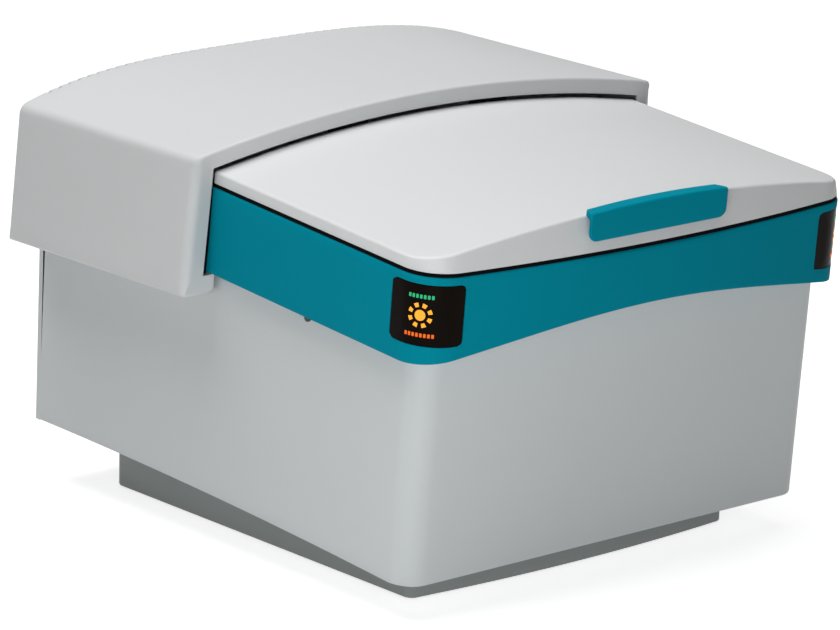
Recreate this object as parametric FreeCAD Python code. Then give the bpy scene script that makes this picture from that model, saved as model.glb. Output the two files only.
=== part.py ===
"""Benchtop x-ray fluorescence spectrometer, in millimetres, +Z up.

The level plinth carries a housing that leans a few degrees towards the user.
Most of the housing is drawn in its own leaning frame and turned about the
X axis; the rear hood and the plinth are drawn upright. The user stands on
the -Y side, and the origin is at the bottom centre of the whole object.
"""
import FreeCAD, Part
import math
import os

V = FreeCAD.Vector

# Overall layout
housing_lean = 4.8
sheet = 3.0
slack = 0.3
running = 0.05

# Lid, seen from above as a box with a bowed front and two round corners
lid_half = 270.0
lid_front = -304.6
lid_bow = 19.0
lid_corner = 40.0
lid_rear = 12.0
seam_z = 372.7
lid_rim = 11.3
lid_crown = 25.3
lid_wall = 3.0
lid_edge = 4.0
lid_front_lean = 16.0
liner_inset = 2.0
liner_drop = 1.5

# Seal and coloured collar below the lid
seal_height = 4.0
seal_width = 5.0
collar_out = 1.0
collar_low = 283.3
collar_arch = 29.0
collar_rear = 20.0

# Body shell below the collar
collar_overhang = 12.0
body_half = lid_half - collar_overhang
body_setback = 14.6
body_front = lid_front + body_setback
body_bow = 6.3
body_corner = 27.0
body_overlap = 8.0
side_screw_y = -127.0
body_low_front = 35.5
body_low_rear = 65.5
body_low_rise = 5.0
hood_seam = 0.6
rear_bottom_y = 284.0
rear_lean = 2.3
rear_thick = 6.5

# Plinth and feet
plinth_inset = 53.0
plinth_half = body_half - plinth_inset
plinth_front = -240.8
plinth_bow = 10.9
plinth_corner = 9.9
plinth_rear = 220.5
plinth_lift = 1.5
foot_radius = 16.0
foot_inset = 34.0
foot_depth = 3.0

# Rear hood
hood_overhang = 31.6
hood_half_low = lid_half + hood_overhang
hood_taper = 7.3
hood_half_top = hood_half_low - hood_taper
hood_low = 261.3
hood_side_top = 399.7
hood_front = -12.5
hood_rear = 271.0
hood_front_lean = 5.5
hood_rear_lean = 3.8
hood_crown = 29.3
hood_rear_crown = 30.5
hood_rear_fullness = 3.4
hood_edge = 7.0
lip_thick = 2.5
lip_gap = 5.0
opening_margin = 7.5
opening_half = lid_half + opening_margin
sill_margin = 6.0
sill_half = body_half + sill_margin
sill_height = 19.0
vent_count = 46
vent_pitch = 11.6
vent_width = 5.0
vent_reach = 9.0

# Hinges of the lid, just behind the hood's lip
hinge_setback = 7.5
hinge_rise = 8.5
hinge_x = 90.0
barrel_radius = 4.5
barrel_length = 20.0
pin_radius = 2.0
ear_radius = 4.6
ear_thick = 3.0
leaf_length = 22.0

# Handle on the lid's front edge
handle_width = 173.0
handle_x = -7.0
handle_thick = 3.5
handle_strip = 5.0
handle_gap = 4.5
handle_height = 28.0
handle_reach = 18.0
handle_corner = 9.0
screw_radius = 2.0

# Status windows on the collar's front corners
window_side_y = -257.0
window_front_inset = 41.0
window_front_x = lid_half - window_front_inset
window_low = 302.0
window_high = 361.0
window_radius = 6.0
board_width = 36.0
board_height = 42.0
board_thick = 1.6
lamp_radius = 2.5

# Deck under the lid, with a round well
deck_z = 357.0
deck_thick = 3.0
deck_inset = 4.0
deck_rear = 25.0
well_y = -140.0
well_radius = 148.0
well_floor = 318.0

# Sample tray and its drive
tray_radius = 140.0
tray_z = 333.0
tray_thick = 5.0
pocket_count = 8
pocket_circle = 95.0
insert_radius = 26.0
insert_ledge = 2.0
pocket_radius = 20.3
cup_radius = 20.0
cup_rim = 23.0
cup_wall = 1.2
cup_above = 9.0
cup_below = 10.0
tray_shaft = 8.0
bearing_radius = 18.0
bearing_height = 12.0
gear_module = 2.0
gear_teeth = 48
pinion_teeth = 16
gear_z = 288.0
gear_width = 8.0
motor_side = 42.0
motor_height = 40.0
motor_shaft = 2.5
drive_angle = 200.0

# Measuring chamber and the two arms that look up at the sample
beam_angle = 45.0
port_distance = 56.0
port_radius = 11.0
port_half = 26.0
chamber_depth = 76.0
chamber_low = 60.0
aperture = 14.0
shutter_travel = 24.0
shutter_half = 13.0
shutter_thick = 3.0
rail_width = 4.0
wheel_radius = 58.0
wheel_offset = 46.0
wheel_thick = 3.0
filter_count = 6
filter_radius = 9.0
tube_radius = 30.0
tube_length = 150.0
tube_nose = 10.0
filter_motor_radius = 13.5
filter_motor_length = 34.0
detector_radius = 18.0
detector_length = 60.0
solenoid_side = 28.0
solenoid_length = 40.0
rod_radius = 2.5

# Frame and boxes inside the housing
floor_z = 66.0
post_side = 20.0
post_inset = 33.0
post_x = body_half - post_inset
post_front = -225.0
post_middle = 36.0
post_rear = 225.0
post_rear_top = 300.0
rail_z = 318.0
beam_height = 30.0
bracket_width = 24.0
box_margin = 10.0
generator_size = (150.0, 150.0, 110.0)
generator_place = (generator_size[0] / 2 + box_margin + post_side / 2 - post_x, 150.0)
supply_size = (150.0, 130.0, 80.0)
supply_place = (post_x - post_side / 2 - box_margin - supply_size[0] / 2, 155.0)
supply_slots = 6
supply_slot_width = 4.0
supply_slot_inset = 15.0
board_margin = 5.0
board_size = (160.0, 150.0)
main_board_place = (post_x - post_side / 2 - board_margin - board_size[0] / 2, -150.0)
standoff_height = 10.0
standoff_radius = 3.0

# Rear panel fittings, in the panel's own frame: X across, Z up the panel
fan_side = 70.0
fan_depth = 25.0
fan_bore = 32.5
fan_hub = 16.0
fan_blades = 7
fan_inset = 88.0
fan_pitch = 100.0
fan_places = (fan_inset - body_half, fan_inset + fan_pitch - body_half)
fan_height = 110.0
guard_wire = 1.2
guard_rings = (10, 17, 24, 31)
guard_bar_end = 4
socket_row = 40.0
inlet_x = body_half - 68.0
inlet_place = (inlet_x, socket_row)
inlet_flange = (50.0, 28.0)
inlet_cavity = (24.5, 16.5)
inlet_depth = 17.0
inlet_pins = ((-7, -2), (7, -2), (0, 2))
rocker_rise = 44.0
rocker_place = (inlet_x, socket_row + rocker_rise)
rocker_size = (14.0, 24.0)
rocker_depth = 16.0
rocker_tilt = 9.0
fuse_place = (inlet_x - 50.0, socket_row)
fuse_size = (20.0, 12.0)
fuse_depth = 26.0
network_place = (inlet_x - 98.0, socket_row)
network_cavity = (11.8, 8.4)
network_depth = 18.0
usb_place = (inlet_x - 132.0, socket_row)
usb_pitch = 22.0
usb_can = (14.5, 7.0)
usb_mouth = (12.5, 5.1)
usb_depth = 16.0
gas_place = (inlet_x - 180.0, socket_row)
gas_radius = 3.05
gas_length = 14.0
panel_screw_head = 4.0

# Interlock switch under the lid's left front corner
switch_inset = 55.0
switch_x = switch_inset - lid_half
switch_y = -262.0
plunger_radius = 2.5
plunger_travel = 3.0


# Leaning frame of the housing

def leaned(shape):
    """Turn a shape from the housing's frame into the upright frame."""
    turned = shape.copy()
    turned.rotate(V(0, 0, 0), V(1, 0, 0), housing_lean)
    return turned


def to_upright(y, z):
    """Upright y and z of a point given in the housing's frame."""
    c = math.cos(math.radians(housing_lean))
    s = math.sin(math.radians(housing_lean))
    return y * c - z * s, y * s + z * c


def to_housing(y, z):
    """Housing-frame y and z of a point given upright."""
    c = math.cos(math.radians(housing_lean))
    s = math.sin(math.radians(housing_lean))
    return y * c + z * s, z * c - y * s


def origin_y():
    """Upright y midway between the handle's face and the end of the gas fitting."""
    nearest = to_upright(handle_plate_y(), handle_low())[0]
    c = math.cos(math.radians(rear_lean))
    s = math.sin(math.radians(rear_lean))
    gas_top = gas_place[1] + 2 * gas_radius
    furthest = rear_bottom_y + gas_length * c - (gas_top - 4 * gas_radius) * s
    return (nearest + furthest) / 2


def save(name, *shapes):
    """Write one sub-part's solids, moved so that the origin is at the base."""
    solids = []
    for shape in shapes:
        solids.extend(shape.Solids)
    group = solids[0] if len(solids) == 1 else Part.makeCompound(solids)
    group = group.copy()
    group.translate(V(0, -origin_y(), 0))
    group.exportStep("parts/" + name + ".step")


# Basic solids

def block(x0, x1, y0, y1, z0, z1):
    """Box between two corners."""
    return Part.makeBox(x1 - x0, y1 - y0, z1 - z0, V(x0, y0, z0))


def rod(radius, start, end):
    """Cylinder between two points."""
    axis = V(*end) - V(*start)
    return Part.makeCylinder(radius, axis.Length, V(*start), axis)


def polygon_prism(points, direction):
    """Prism on a closed polygon of 3D points."""
    corners = [V(*point) for point in points]
    wire = Part.makePolygon(corners + corners[:1])
    return Part.Face(wire).extrude(V(*direction))


def plan_prism(half, front, bow, corner, rear, z0, z1):
    """Upright prism with a bowed front and two rounded front corners."""
    left, right = V(-half, front, z0), V(half, front, z0)
    rear_right, rear_left = V(half, rear, z0), V(-half, rear, z0)
    bowed = Part.Arc(left, V(0, front - bow, z0), right).toShape()
    edges = [bowed, Part.makeLine(right, rear_right), Part.makeLine(rear_right, rear_left)]
    edges.append(Part.makeLine(rear_left, left))
    prism = Part.Face(Part.Wire(edges)).extrude(V(0, 0, z1 - z0))
    fronts = []
    for edge in prism.Edges:
        upright = abs(edge.tangentAt(edge.FirstParameter).z) > 0.99
        if upright and abs(edge.CenterOfMass.y - front) < 1e-3:
            fronts.append(edge)
    return prism.makeFillet(corner, fronts)


def arch_below(half, low, rise, depth, front, rear):
    """Everything below an arch that spans the width, for cutting with."""
    reach = half * 1.2
    drop = low - rise * (1.2 ** 2 - 1)
    left, right = V(-reach, front, drop), V(reach, front, drop)
    top = Part.Arc(left, V(0, front, low + rise), right).toShape()
    down_right, down_left = V(reach, front, low - depth), V(-reach, front, low - depth)
    edges = [top, Part.makeLine(right, down_right), Part.makeLine(down_right, down_left)]
    edges.append(Part.makeLine(down_left, left))
    return Part.Face(Part.Wire(edges)).extrude(V(0, rear - front, 0))


def gear(teeth, module, width):
    """Spur gear blank with straight-sided teeth and some backlash."""
    pitch = teeth * module / 2
    step = 2 * math.pi / teeth
    points = []
    for index in range(teeth):
        base = index * step
        profile = ((-0.26, -1.15), (-0.1, 0.85), (0.1, 0.85), (0.26, -1.15))
        for share, height in profile:
            angle = base + share * step
            radius = pitch + height * module
            points.append((radius * math.cos(angle), radius * math.sin(angle), 0))
    return polygon_prism(points, (0, 0, width))


# Plinth, feet and floor

def floor_cut():
    """Half space above the housing's floor, leaning with it."""
    reach = 2 * plinth_half + 2 * abs(plinth_front)
    return leaned(block(-reach, reach, -reach, reach, floor_z, floor_z + reach))


def foot_centres():
    """Centres of the four feet under the plinth."""
    x = plinth_half - foot_inset
    return [(sx * x, y) for sx in (-1, 1) for y in (plinth_front + foot_inset, plinth_rear - foot_inset)]


def make_plinth():
    """Dark base tray whose walls rise to the leaning floor."""
    top = floor_z + plinth_half
    outer = plan_prism(plinth_half, plinth_front, plinth_bow, plinth_corner, plinth_rear, plinth_lift, top)
    inner = plan_prism(plinth_half - sheet, plinth_front + sheet, plinth_bow, plinth_corner - sheet,
                       plinth_rear - sheet, plinth_lift + sheet, top + 1)
    tray = outer.cut(inner).cut(floor_cut())
    for x, y in foot_centres():
        tray = tray.cut(rod(screw_radius, (x, y, 0), (x, y, plinth_lift + 2 * sheet)))
    return tray


def make_feet():
    """Four rubber feet, each with a stud through the tray."""
    feet = []
    for x, y in foot_centres():
        pad = rod(foot_radius, (x, y, 0), (x, y, plinth_lift))
        stud = rod(screw_radius - running, (x, y, plinth_lift), (x, y, plinth_lift + sheet + foot_depth))
        feet.append(pad.fuse(stud))
    return feet


def make_floor():
    """Floor plate of the housing, inside the body shell."""
    plate = plan_prism(body_half - sheet - slack, body_front + sheet + slack, body_bow, body_corner - sheet,
                       rear_bottom_y + body_corner, floor_z, floor_z + sheet)
    return leaned(plate).cut(behind(rear_thick + slack))


# Body shell and rear panel

def rear_plane_y(z):
    """Upright y of the rear panel's outer face at a height."""
    return rear_bottom_y - math.tan(math.radians(rear_lean)) * (z - body_low_rear)


def behind(offset):
    """Half space behind the rear panel's outer face moved forward by offset."""
    reach = 2 * body_half
    z0, z1 = -reach, 2 * reach
    shift = offset / math.cos(math.radians(rear_lean))
    points = [(-reach, rear_plane_y(z0) - shift, z0), (-reach, rear_plane_y(z1) - shift, z1)]
    points += [(-reach, reach, z1), (-reach, reach, z0)]
    return polygon_prism(points, (2 * reach, 0, 0))


def below_body():
    """Everything below the body's gently arched lower edge."""
    front = body_front - body_bow - body_corner
    rear = rear_bottom_y + body_corner
    slope = (body_low_rear - body_low_front) / (rear_bottom_y - body_front)
    z_front = body_low_front - slope * (body_front - front)
    z_rear = body_low_rear + slope * (rear - rear_bottom_y)
    reach = body_half + body_corner
    a, b = V(-reach, front, z_front), V(-reach, rear, z_rear)
    middle = (a + b) * 0.5 + V(0, 0, body_low_rise)
    deep = V(0, 0, 2 * floor_z)
    edges = [Part.Arc(a, middle, b).toShape(), Part.makeLine(b, b - deep), Part.makeLine(b - deep, a - deep)]
    edges.append(Part.makeLine(a - deep, a))
    return Part.Face(Part.Wire(edges)).extrude(V(2 * reach, 0, 0))


def body_solid(inset, top):
    """Block of the body in the housing's frame, inset from its faces, up to a height."""
    return plan_prism(body_half - inset, body_front + inset, body_bow, body_corner - inset,
                      rear_bottom_y + body_corner, 0, top)


def screw_spots():
    """Upright places of the two small screws below the collar's sides."""
    y, z = to_upright(side_screw_y, collar_low - 2.75 * screw_radius)
    return [(side * body_half, y, z) for side in (-1, 1)]


def make_body():
    """Left side, front and right side of the housing in one moulding."""
    top = collar_low + collar_arch + body_overlap
    ring = body_solid(0, top).cut(body_solid(sheet, top + 1))
    keep = arch_below(lid_half, collar_low + body_overlap, collar_arch, floor_z + collar_low,
                      2 * body_front, 2 * rear_bottom_y)
    shell = leaned(ring.common(keep))
    shell = shell.cut(below_body()).cut(behind(rear_thick))
    reach = 2 * body_half
    hood_inside = rear_plane_y(hood_low) - 5 * sheet - rear_thick
    shell = shell.cut(block(-reach, reach, hood_inside, reach, hood_low - hood_seam, 2 * reach))
    for x, y, z in screw_spots():
        shell = shell.cut(rod(screw_radius, (x - 2 * sheet, y, z), (x + 2 * sheet, y, z)))
    return shell


def make_side_screws():
    """Two small dark screws through the body's sides."""
    screws = []
    for x, y, z in screw_spots():
        out = math.copysign(1, x)
        head = rod(2 * screw_radius, (x, y, z), (x + out * screw_radius, y, z))
        shank = rod(screw_radius - running, (x, y, z), (x - out * 3 * sheet, y, z))
        screws.append(head.fuse(shank))
    return screws


# Collar, seal and deck

def collar_solid(inset, low, top):
    """Block of the collar in the housing's frame, inset from its faces, above the arch."""
    half = lid_half + collar_out
    front = lid_front - collar_out
    full = plan_prism(half - inset, front + inset, lid_bow, lid_corner - inset, collar_rear, low - sheet, top)
    return full.cut(arch_below(lid_half, low, collar_arch, 4 * sheet, 2 * front, 2 * collar_rear))


def window_zone(inset, margin, outward):
    """Solid that holds the right window's share of the collar wall."""
    half = lid_half + collar_out
    front = lid_front - collar_out
    outer = plan_prism(half - inset, front + inset, lid_bow, lid_corner - inset, 0,
                       window_low - margin, window_high + margin)
    inner = plan_prism(half - outward, front + outward, lid_bow, lid_corner - outward, 0,
                       window_low - margin - 1, window_high + margin + 1)
    quarter = block(window_front_x - margin, 2 * half, 2 * front, window_side_y + margin,
                    window_low - 2 * half, window_high + half)
    return outer.cut(inner).common(quarter)


def make_collar():
    """Coloured collar with a shelf closing in on the body, and its window cut-outs."""
    top = seam_z - seal_height
    band = collar_solid(0, collar_low, top).cut(collar_solid(sheet, collar_low + sheet, top + 1))
    through = plan_prism(body_half + slack, body_front - slack, body_bow, body_corner, 2 * collar_rear, 0, top)
    band = band.cut(through)
    hole = window_zone(-1, slack, sheet + 1)
    return leaned(band.cut(hole).cut(hole.mirror(V(0, 0, 0), V(1, 0, 0))))


def make_window(side):
    """Dark window that wraps round one front corner of the collar."""
    pane = window_zone(0, 0, sheet)
    if side < 0:
        pane = pane.mirror(V(0, 0, 0), V(1, 0, 0))
    return leaned(pane)


def lamp_seat():
    """Centre of one corner's round in the housing's frame, and its free inner radius."""
    half = lid_half + collar_out
    x = half - lid_corner
    y = lid_front - collar_out + lid_corner - lid_bow * (1 - (x / half) ** 2)
    return x, y, lid_corner - sheet - 2 * slack


def place_in_corner(shape, side):
    """Turn a shape drawn about the corner's centre, facing -Y, into its corner."""
    x, y, _ = lamp_seat()
    shape.rotate(V(0, 0, 0), V(0, 0, 1), 45)
    shape.translate(V(x, y, (window_low + window_high) / 2 - lamp_radius))
    if side < 0:
        shape = shape.mirror(V(0, 0, 0), V(1, 0, 0))
    return leaned(shape)


def make_lamp_board(side):
    """Circuit board across one corner, behind the status window."""
    room = lamp_seat()[2]
    face = math.sqrt(room ** 2 - (board_width / 2) ** 2)
    board = block(-board_width / 2, board_width / 2, -face, board_thick - face, -board_height / 2, board_height / 2)
    return place_in_corner(board, side)


def make_lamps(side):
    """Three lamps on one board, one above the other."""
    room = lamp_seat()[2]
    face = math.sqrt(room ** 2 - (board_width / 2) ** 2)
    lamps = []
    for share in (-1, 0, 1):
        z = share * board_height / 3
        lamps.append(place_in_corner(rod(lamp_radius, (0, -face, z), (0, slack - room, z)), side))
    return lamps


def make_seal():
    """Black gasket on the collar's top edge, open towards the hinges."""
    low, top = seam_z - seal_height, seam_z - slack
    outer = plan_prism(lid_half, lid_front, lid_bow, lid_corner, lid_rear, low, top)
    inner = plan_prism(lid_half - seal_width, lid_front + seal_width, lid_bow, lid_corner - seal_width,
                       lid_rear + 1, low - 1, top + 1)
    return leaned(outer.cut(inner))


def make_deck():
    """Deck plate with a round well that holds the sample tray."""
    half = lid_half + collar_out - sheet - slack
    front = lid_front - collar_out + sheet + slack
    plate = plan_prism(half, front, lid_bow, lid_corner - sheet, deck_rear, deck_z, deck_z + deck_thick)
    top = deck_z + deck_thick
    well = rod(well_radius + deck_thick, (0, well_y, well_floor), (0, well_y, top))
    hollow = rod(well_radius, (0, well_y, well_floor + deck_thick), (0, well_y, top + 1))
    deck = plate.fuse(well).cut(hollow)
    deck = deck.cut(rod(aperture, sample_spot(-2 * deck_thick), sample_spot(deck_thick)))
    deck = deck.cut(rod(tray_shaft + slack, (0, well_y, well_floor - 1), (0, well_y, top)))
    switch_hole = rod(plunger_radius + running, (switch_x, switch_y, deck_z - 1), (switch_x, switch_y, top + 1))
    return leaned(deck.cut(switch_hole))


# Lid, handle and hinges

def lid_setback(z):
    """How far the lid's leaning front lies behind its foremost line at a height."""
    return math.tan(math.radians(lid_front_lean)) * (z - seam_z)


def lid_block(inset, z0, z1):
    """Block of the lid between two heights, its front leaning back from the seam."""
    rear = lid_rear - inset
    level = plan_prism(lid_half - inset, lid_front + inset, lid_bow, lid_corner - inset, rear, z0, z1)
    foot = min(level.Faces, key=lambda face: face.CenterOfMass.z).copy()
    foot.translate(V(0, lid_setback(z0), 0))
    leaning = foot.extrude(V(0, lid_setback(z1) - lid_setback(z0), z1 - z0))
    reach = 2 * lid_half
    return leaning.cut(block(-reach, reach, rear, rear + lid_half, z0 - 1, z1 + 1))


def lid_loaf(inset, drop):
    """Solid of the lid in the housing's frame under its arched top, inset and lowered."""
    body = lid_block(inset, seam_z - 1 if drop else seam_z, seam_z + lid_rim + lid_crown + 1)
    arch = arch_below(lid_half, seam_z + lid_rim - drop, lid_crown, 2 * lid_rim, 2 * lid_front, lid_half)
    return body.common(arch)


def top_edges(shape, low):
    """Edges round the lid's arched top, but not those of its rear wall."""
    found = []
    for edge in shape.Edges:
        box = edge.BoundBox
        rear_edge = box.YMin > lid_rear - 1
        if box.ZMin > low and not rear_edge:
            found.append(edge)
    return found


def make_lid():
    """Hollow lid with an arched top."""
    outer = lid_loaf(0, 0)
    outer = outer.makeFillet(lid_edge, top_edges(outer, seam_z + lid_rim / 2))
    shell = outer.cut(lid_loaf(lid_wall, lid_wall))
    for x in handle_screw_x():
        z = handle_low() + handle_height / 2
        y = handle_face_y()
        shell = shell.cut(rod(screw_radius, (x, y - 2 * handle_gap, z), (x, y + 6 * lid_wall, z)))
    return leaned(shell)


def make_liner():
    """Flat inner plate that closes the lid from below."""
    return leaned(lid_block(lid_wall + slack, seam_z + liner_drop, seam_z + liner_drop + liner_inset))


def handle_face_y():
    """Housing-frame y of the lid's front face at the handle's ends."""
    share = (handle_width / 2 + abs(handle_x)) / lid_half
    return lid_front - lid_bow * (1 - share ** 2)


def handle_plate_y():
    """Housing-frame y of the handle's outer face."""
    return lid_front - lid_bow - handle_gap - handle_thick


def handle_low():
    """Height of the handle's lower edge in the housing's frame."""
    return lid_top_z(handle_width / 2) + handle_strip - handle_height


def lid_top_z(x):
    """Height of the lid's arched top at a distance from the middle."""
    return seam_z + lid_rim + lid_crown * (1 - (x / lid_half) ** 2)


def handle_screw_x():
    """Places of the two handle screws across the lid."""
    return [handle_x + side * handle_width * 0.4 for side in (-1, 1)]


def make_handle():
    """Clip handle: a strip on the lid, a plate hung before it and two feet."""
    x0, x1 = handle_x - handle_width / 2, handle_x + handle_width / 2
    nose = lid_front - lid_bow
    plate_y = handle_plate_y()
    low = handle_low()
    high = low + handle_height + lid_crown / 3
    tall = block(x0, x1, plate_y, nose + handle_reach, low, high + lid_crown)
    corners = [e for e in tall.Edges if e.BoundBox.YLength > handle_reach and e.BoundBox.ZMax < low + 1]
    tall = tall.makeFillet(handle_corner, corners)
    above = arch_below(lid_half, seam_z + lid_rim + handle_strip, lid_crown, handle_height * 2,
                       2 * lid_front, lid_half)
    tall = tall.common(above)
    under = arch_below(lid_half, seam_z + lid_rim, lid_crown, handle_height * 2, plate_y + handle_thick,
                       lid_half)
    handle = tall.cut(under)
    for x in handle_screw_x():
        foot = block(x - 3 * screw_radius, x + 3 * screw_radius, plate_y + handle_thick, lid_front,
                     low + handle_height / 4, low + handle_height * 0.75)
        foot = foot.cut(lid_block(0, seam_z, low + handle_height))
        handle = handle.fuse(foot)
        z = low + handle_height / 2
        handle = handle.cut(rod(screw_radius - running, (x, plate_y + handle_thick, z), (x, lid_front, z)))
    return leaned(handle)


def make_handle_screws():
    """Two screws from inside the lid into the handle's feet."""
    screws = []
    for x in handle_screw_x():
        z = handle_low() + handle_height / 2
        face = lid_front - lid_bow * (1 - (x / lid_half) ** 2) + lid_setback(z + 2 * screw_radius)
        inner = face + lid_wall + slack
        shank = rod(screw_radius - 2 * running, (x, inner - 3 * lid_wall, z), (x, inner, z))
        head = rod(2 * screw_radius, (x, inner, z), (x, inner + screw_radius, z))
        screws.append(leaned(shank.fuse(head)))
    return screws


def hood_front_y(z):
    """Upright y of the hood's front face at a height."""
    return hood_front - math.tan(math.radians(hood_front_lean)) * (z - hood_low)


def lid_top_at_lip(x):
    """Upright height of the lid's top under the lip, at a distance from the middle."""
    rough = hood_front_y(lid_top_z(x))
    y_housing = to_housing(rough, lid_top_z(x))[0]
    return to_upright(y_housing, lid_top_z(x))[1]


def hinge_axis():
    """Upright y and z of the lid's hinge axis."""
    z = lid_top_at_lip(0) + hinge_rise
    return hood_front_y(z) + hinge_setback, z


def make_leaf(side):
    """Lid half of one hinge: barrel, curved-back web and screwed plate."""
    y, z = hinge_axis()
    x0 = side * hinge_x - barrel_length / 2
    wall = to_upright(lid_rear, seam_z + lid_rim)[0] + slack
    ahead = y - wall
    low = -leaf_length - hinge_rise
    outline = [(-3.9, -2.5), (-4.4, 0), (-9, -5), (-9, -15), (-0.4, -15), (-0.4, low), (ahead, low)]
    outline += [(ahead, -12.2), (-0.8, -12.2), (-6, -8)]
    web = polygon_prism([(x0, y - f, z + u) for f, u in outline], (barrel_length, 0, 0))
    barrel = rod(barrel_radius, (x0, y, z), (x0 + barrel_length, y, z))
    bore = rod(pin_radius + running, (x0 - 1, y, z), (x0 + barrel_length + 1, y, z))
    rear_wall = leaned(block(-lid_half, lid_half, 0, lid_rear, seam_z, seam_z + lid_rim + lid_crown))
    return web.fuse(barrel).cut(bore).cut(rear_wall)


def make_hinge_pin(side):
    """Pin through one hinge's barrel and ears."""
    y, z = hinge_axis()
    half = barrel_length / 2 + slack + ear_thick
    return rod(pin_radius, (side * hinge_x - half, y, z), (side * hinge_x + half, y, z))


def make_hinge_bracket(side):
    """Fixed half of one hinge: two ears on a foot that sits on the beam."""
    y, z = hinge_axis()
    y_h, z_h = to_housing(y, z)
    beam_top = deck_z + beam_height
    front, rear = beam_span()
    ears = []
    for end in (-1, 1):
        centre = side * hinge_x + end * (barrel_length / 2 + slack + ear_thick / 2)
        x0 = centre - ear_thick / 2
        cheek = polygon_prism([(x0, y_h + ear_radius * 0.7, z_h + ear_radius * 0.7),
                               (x0, y_h - ear_radius * 0.4, z_h - ear_radius * 0.9),
                               (x0, front + 1, beam_top + sheet), (x0, rear, beam_top + sheet),
                               (x0, rear, beam_top + 3 * sheet)], (ear_thick, 0, 0))
        hub = rod(ear_radius, (x0, y_h, z_h), (x0 + ear_thick, y_h, z_h))
        ears.append(cheek.fuse(hub))
    half = barrel_length / 2 + slack + ear_thick
    foot = block(side * hinge_x - half, side * hinge_x + half, front + 1, rear, beam_top, beam_top + sheet)
    bracket = foot.fuse(ears[0]).fuse(ears[1])
    bore = rod(pin_radius, (side * hinge_x - 2 * half, y_h, z_h), (side * hinge_x + 2 * half, y_h, z_h))
    return leaned(bracket.cut(bore))


# Rear hood

def hood_profile(y_low, lean, crown, fullness, inset, extra_low):
    """Closed section of the hood in a plane that leans back from its lower edge."""
    half_low, half_top = hood_half_low - inset, hood_half_top - inset
    low, side_top = hood_low - extra_low, hood_side_top - inset

    def at(x, z):
        return V(x, y_low - math.tan(math.radians(lean)) * (z - hood_low), z)

    steps = 8
    arch = []
    for index in range(steps + 1):
        x = half_top * (2 * index / steps - 1)
        arch.append(at(x, side_top + crown * (1 - abs(x / half_top) ** fullness)))
    curve = Part.BSplineCurve()
    curve.interpolate(arch)
    corner_left, corner_right = at(-half_low, low), at(half_low, low)
    edges = [Part.makeLine(corner_left, arch[0]), curve.toShape(), Part.makeLine(arch[-1], corner_right)]
    edges.append(Part.makeLine(corner_right, corner_left))
    return Part.Wire(edges)


def hood_solid(inset, front_inset, extra_low):
    """Solid hood, or its hollow when inset."""
    front = hood_profile(hood_front + front_inset, hood_front_lean, hood_crown, 2.0, inset, extra_low)
    rear = hood_profile(hood_rear - inset, hood_rear_lean, hood_rear_crown, hood_rear_fullness, inset, extra_low)
    return Part.makeLoft([front, rear], True, True)


def hood_opening():
    """Cutter for the arched opening that the lid passes through."""
    side_z = lid_top_at_lip(opening_half) + lip_gap
    centre_z = lid_top_at_lip(0) + lip_gap
    front = hood_front_y(hood_side_top + hood_crown) - 2 * lip_gap
    sill = hood_low + sill_height
    left, right = V(-opening_half, front, side_z), V(opening_half, front, side_z)
    top = Part.Arc(left, V(0, front, centre_z), right).toShape()
    corners = [right, V(opening_half, front, sill), V(sill_half, front, sill), V(sill_half, front, 0)]
    corners += [V(-sill_half, front, 0), V(-sill_half, front, sill), V(-opening_half, front, sill), left]
    edges = [top]
    for start, end in zip(corners, corners[1:]):
        edges.append(Part.makeLine(start, end))
    depth = 2 * abs(hood_front_y(hood_side_top)) + 4 * lip_gap
    return Part.Face(Part.Wire(edges)).extrude(V(0, depth, 0))


def vent_cutters():
    """Row of short slots through the hood's rear top edge."""
    slots = []
    for index in range(vent_count):
        x = (index - (vent_count - 1) / 2) * vent_pitch
        share = abs(x / hood_half_top) ** hood_rear_fullness
        top = hood_side_top + hood_rear_crown * (1 - share)
        rear = hood_rear - math.tan(math.radians(hood_rear_lean)) * (top - hood_low)
        slots.append(block(x - vent_width / 2, x + vent_width / 2, rear - vent_reach, rear + vent_reach,
                           top - vent_reach, top + vent_reach))
    return slots


def make_hood():
    """Rear hood: an arched shell with a lip, side flanges below and a vent row."""
    outer = hood_solid(0, 0, 0)
    shoulders = []
    for edge in outer.Edges:
        box = edge.BoundBox
        along = box.YLength > abs(hood_rear) / 2
        if along and box.ZMax > hood_side_top - 1:
            shoulders.append(edge)
    outer = outer.makeFillet(hood_edge, shoulders)
    hollow = hood_solid(sheet, lip_thick, -sheet)
    hood = outer.cut(hollow)
    floor_hole = block(-sill_half, sill_half, 2 * hood_front, hood_rear - sheet, 0, hood_low + 2 * sheet)
    hood = hood.cut(floor_hole).cut(hood_opening())
    return hood.cut(Part.makeCompound(vent_cutters()))


def make_hood_brackets():
    """Four brackets from the posts to the hood's side walls."""
    room = hood_solid(sheet, lip_thick, 0)
    brackets = []
    for y in (post_middle, post_rear):
        for side in (-1, 1):
            inner = post_x + post_side / 2
            top = post_rear_top + sheet
            arm = block(inner, hood_half_low, y - bracket_width / 2, y + bracket_width / 2, top - sheet, top)
            wide = bracket_width / 2
            tab = block(inner, inner + sheet, y - wide, y + wide, top - bracket_width, top)
            end = block(hood_half_low - 5 * sheet, hood_half_low, y - wide, y + wide, top - bracket_width, top)
            bracket = arm.fuse(tab).fuse(end)
            if side < 0:
                bracket = bracket.mirror(V(0, 0, 0), V(1, 0, 0))
            brackets.append(leaned(bracket).common(room))
    return brackets


# Frame inside the housing

def beam_span():
    """Front and rear y of the beam that carries the hinges."""
    return post_middle - post_side / 2, post_middle + post_side / 2


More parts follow.
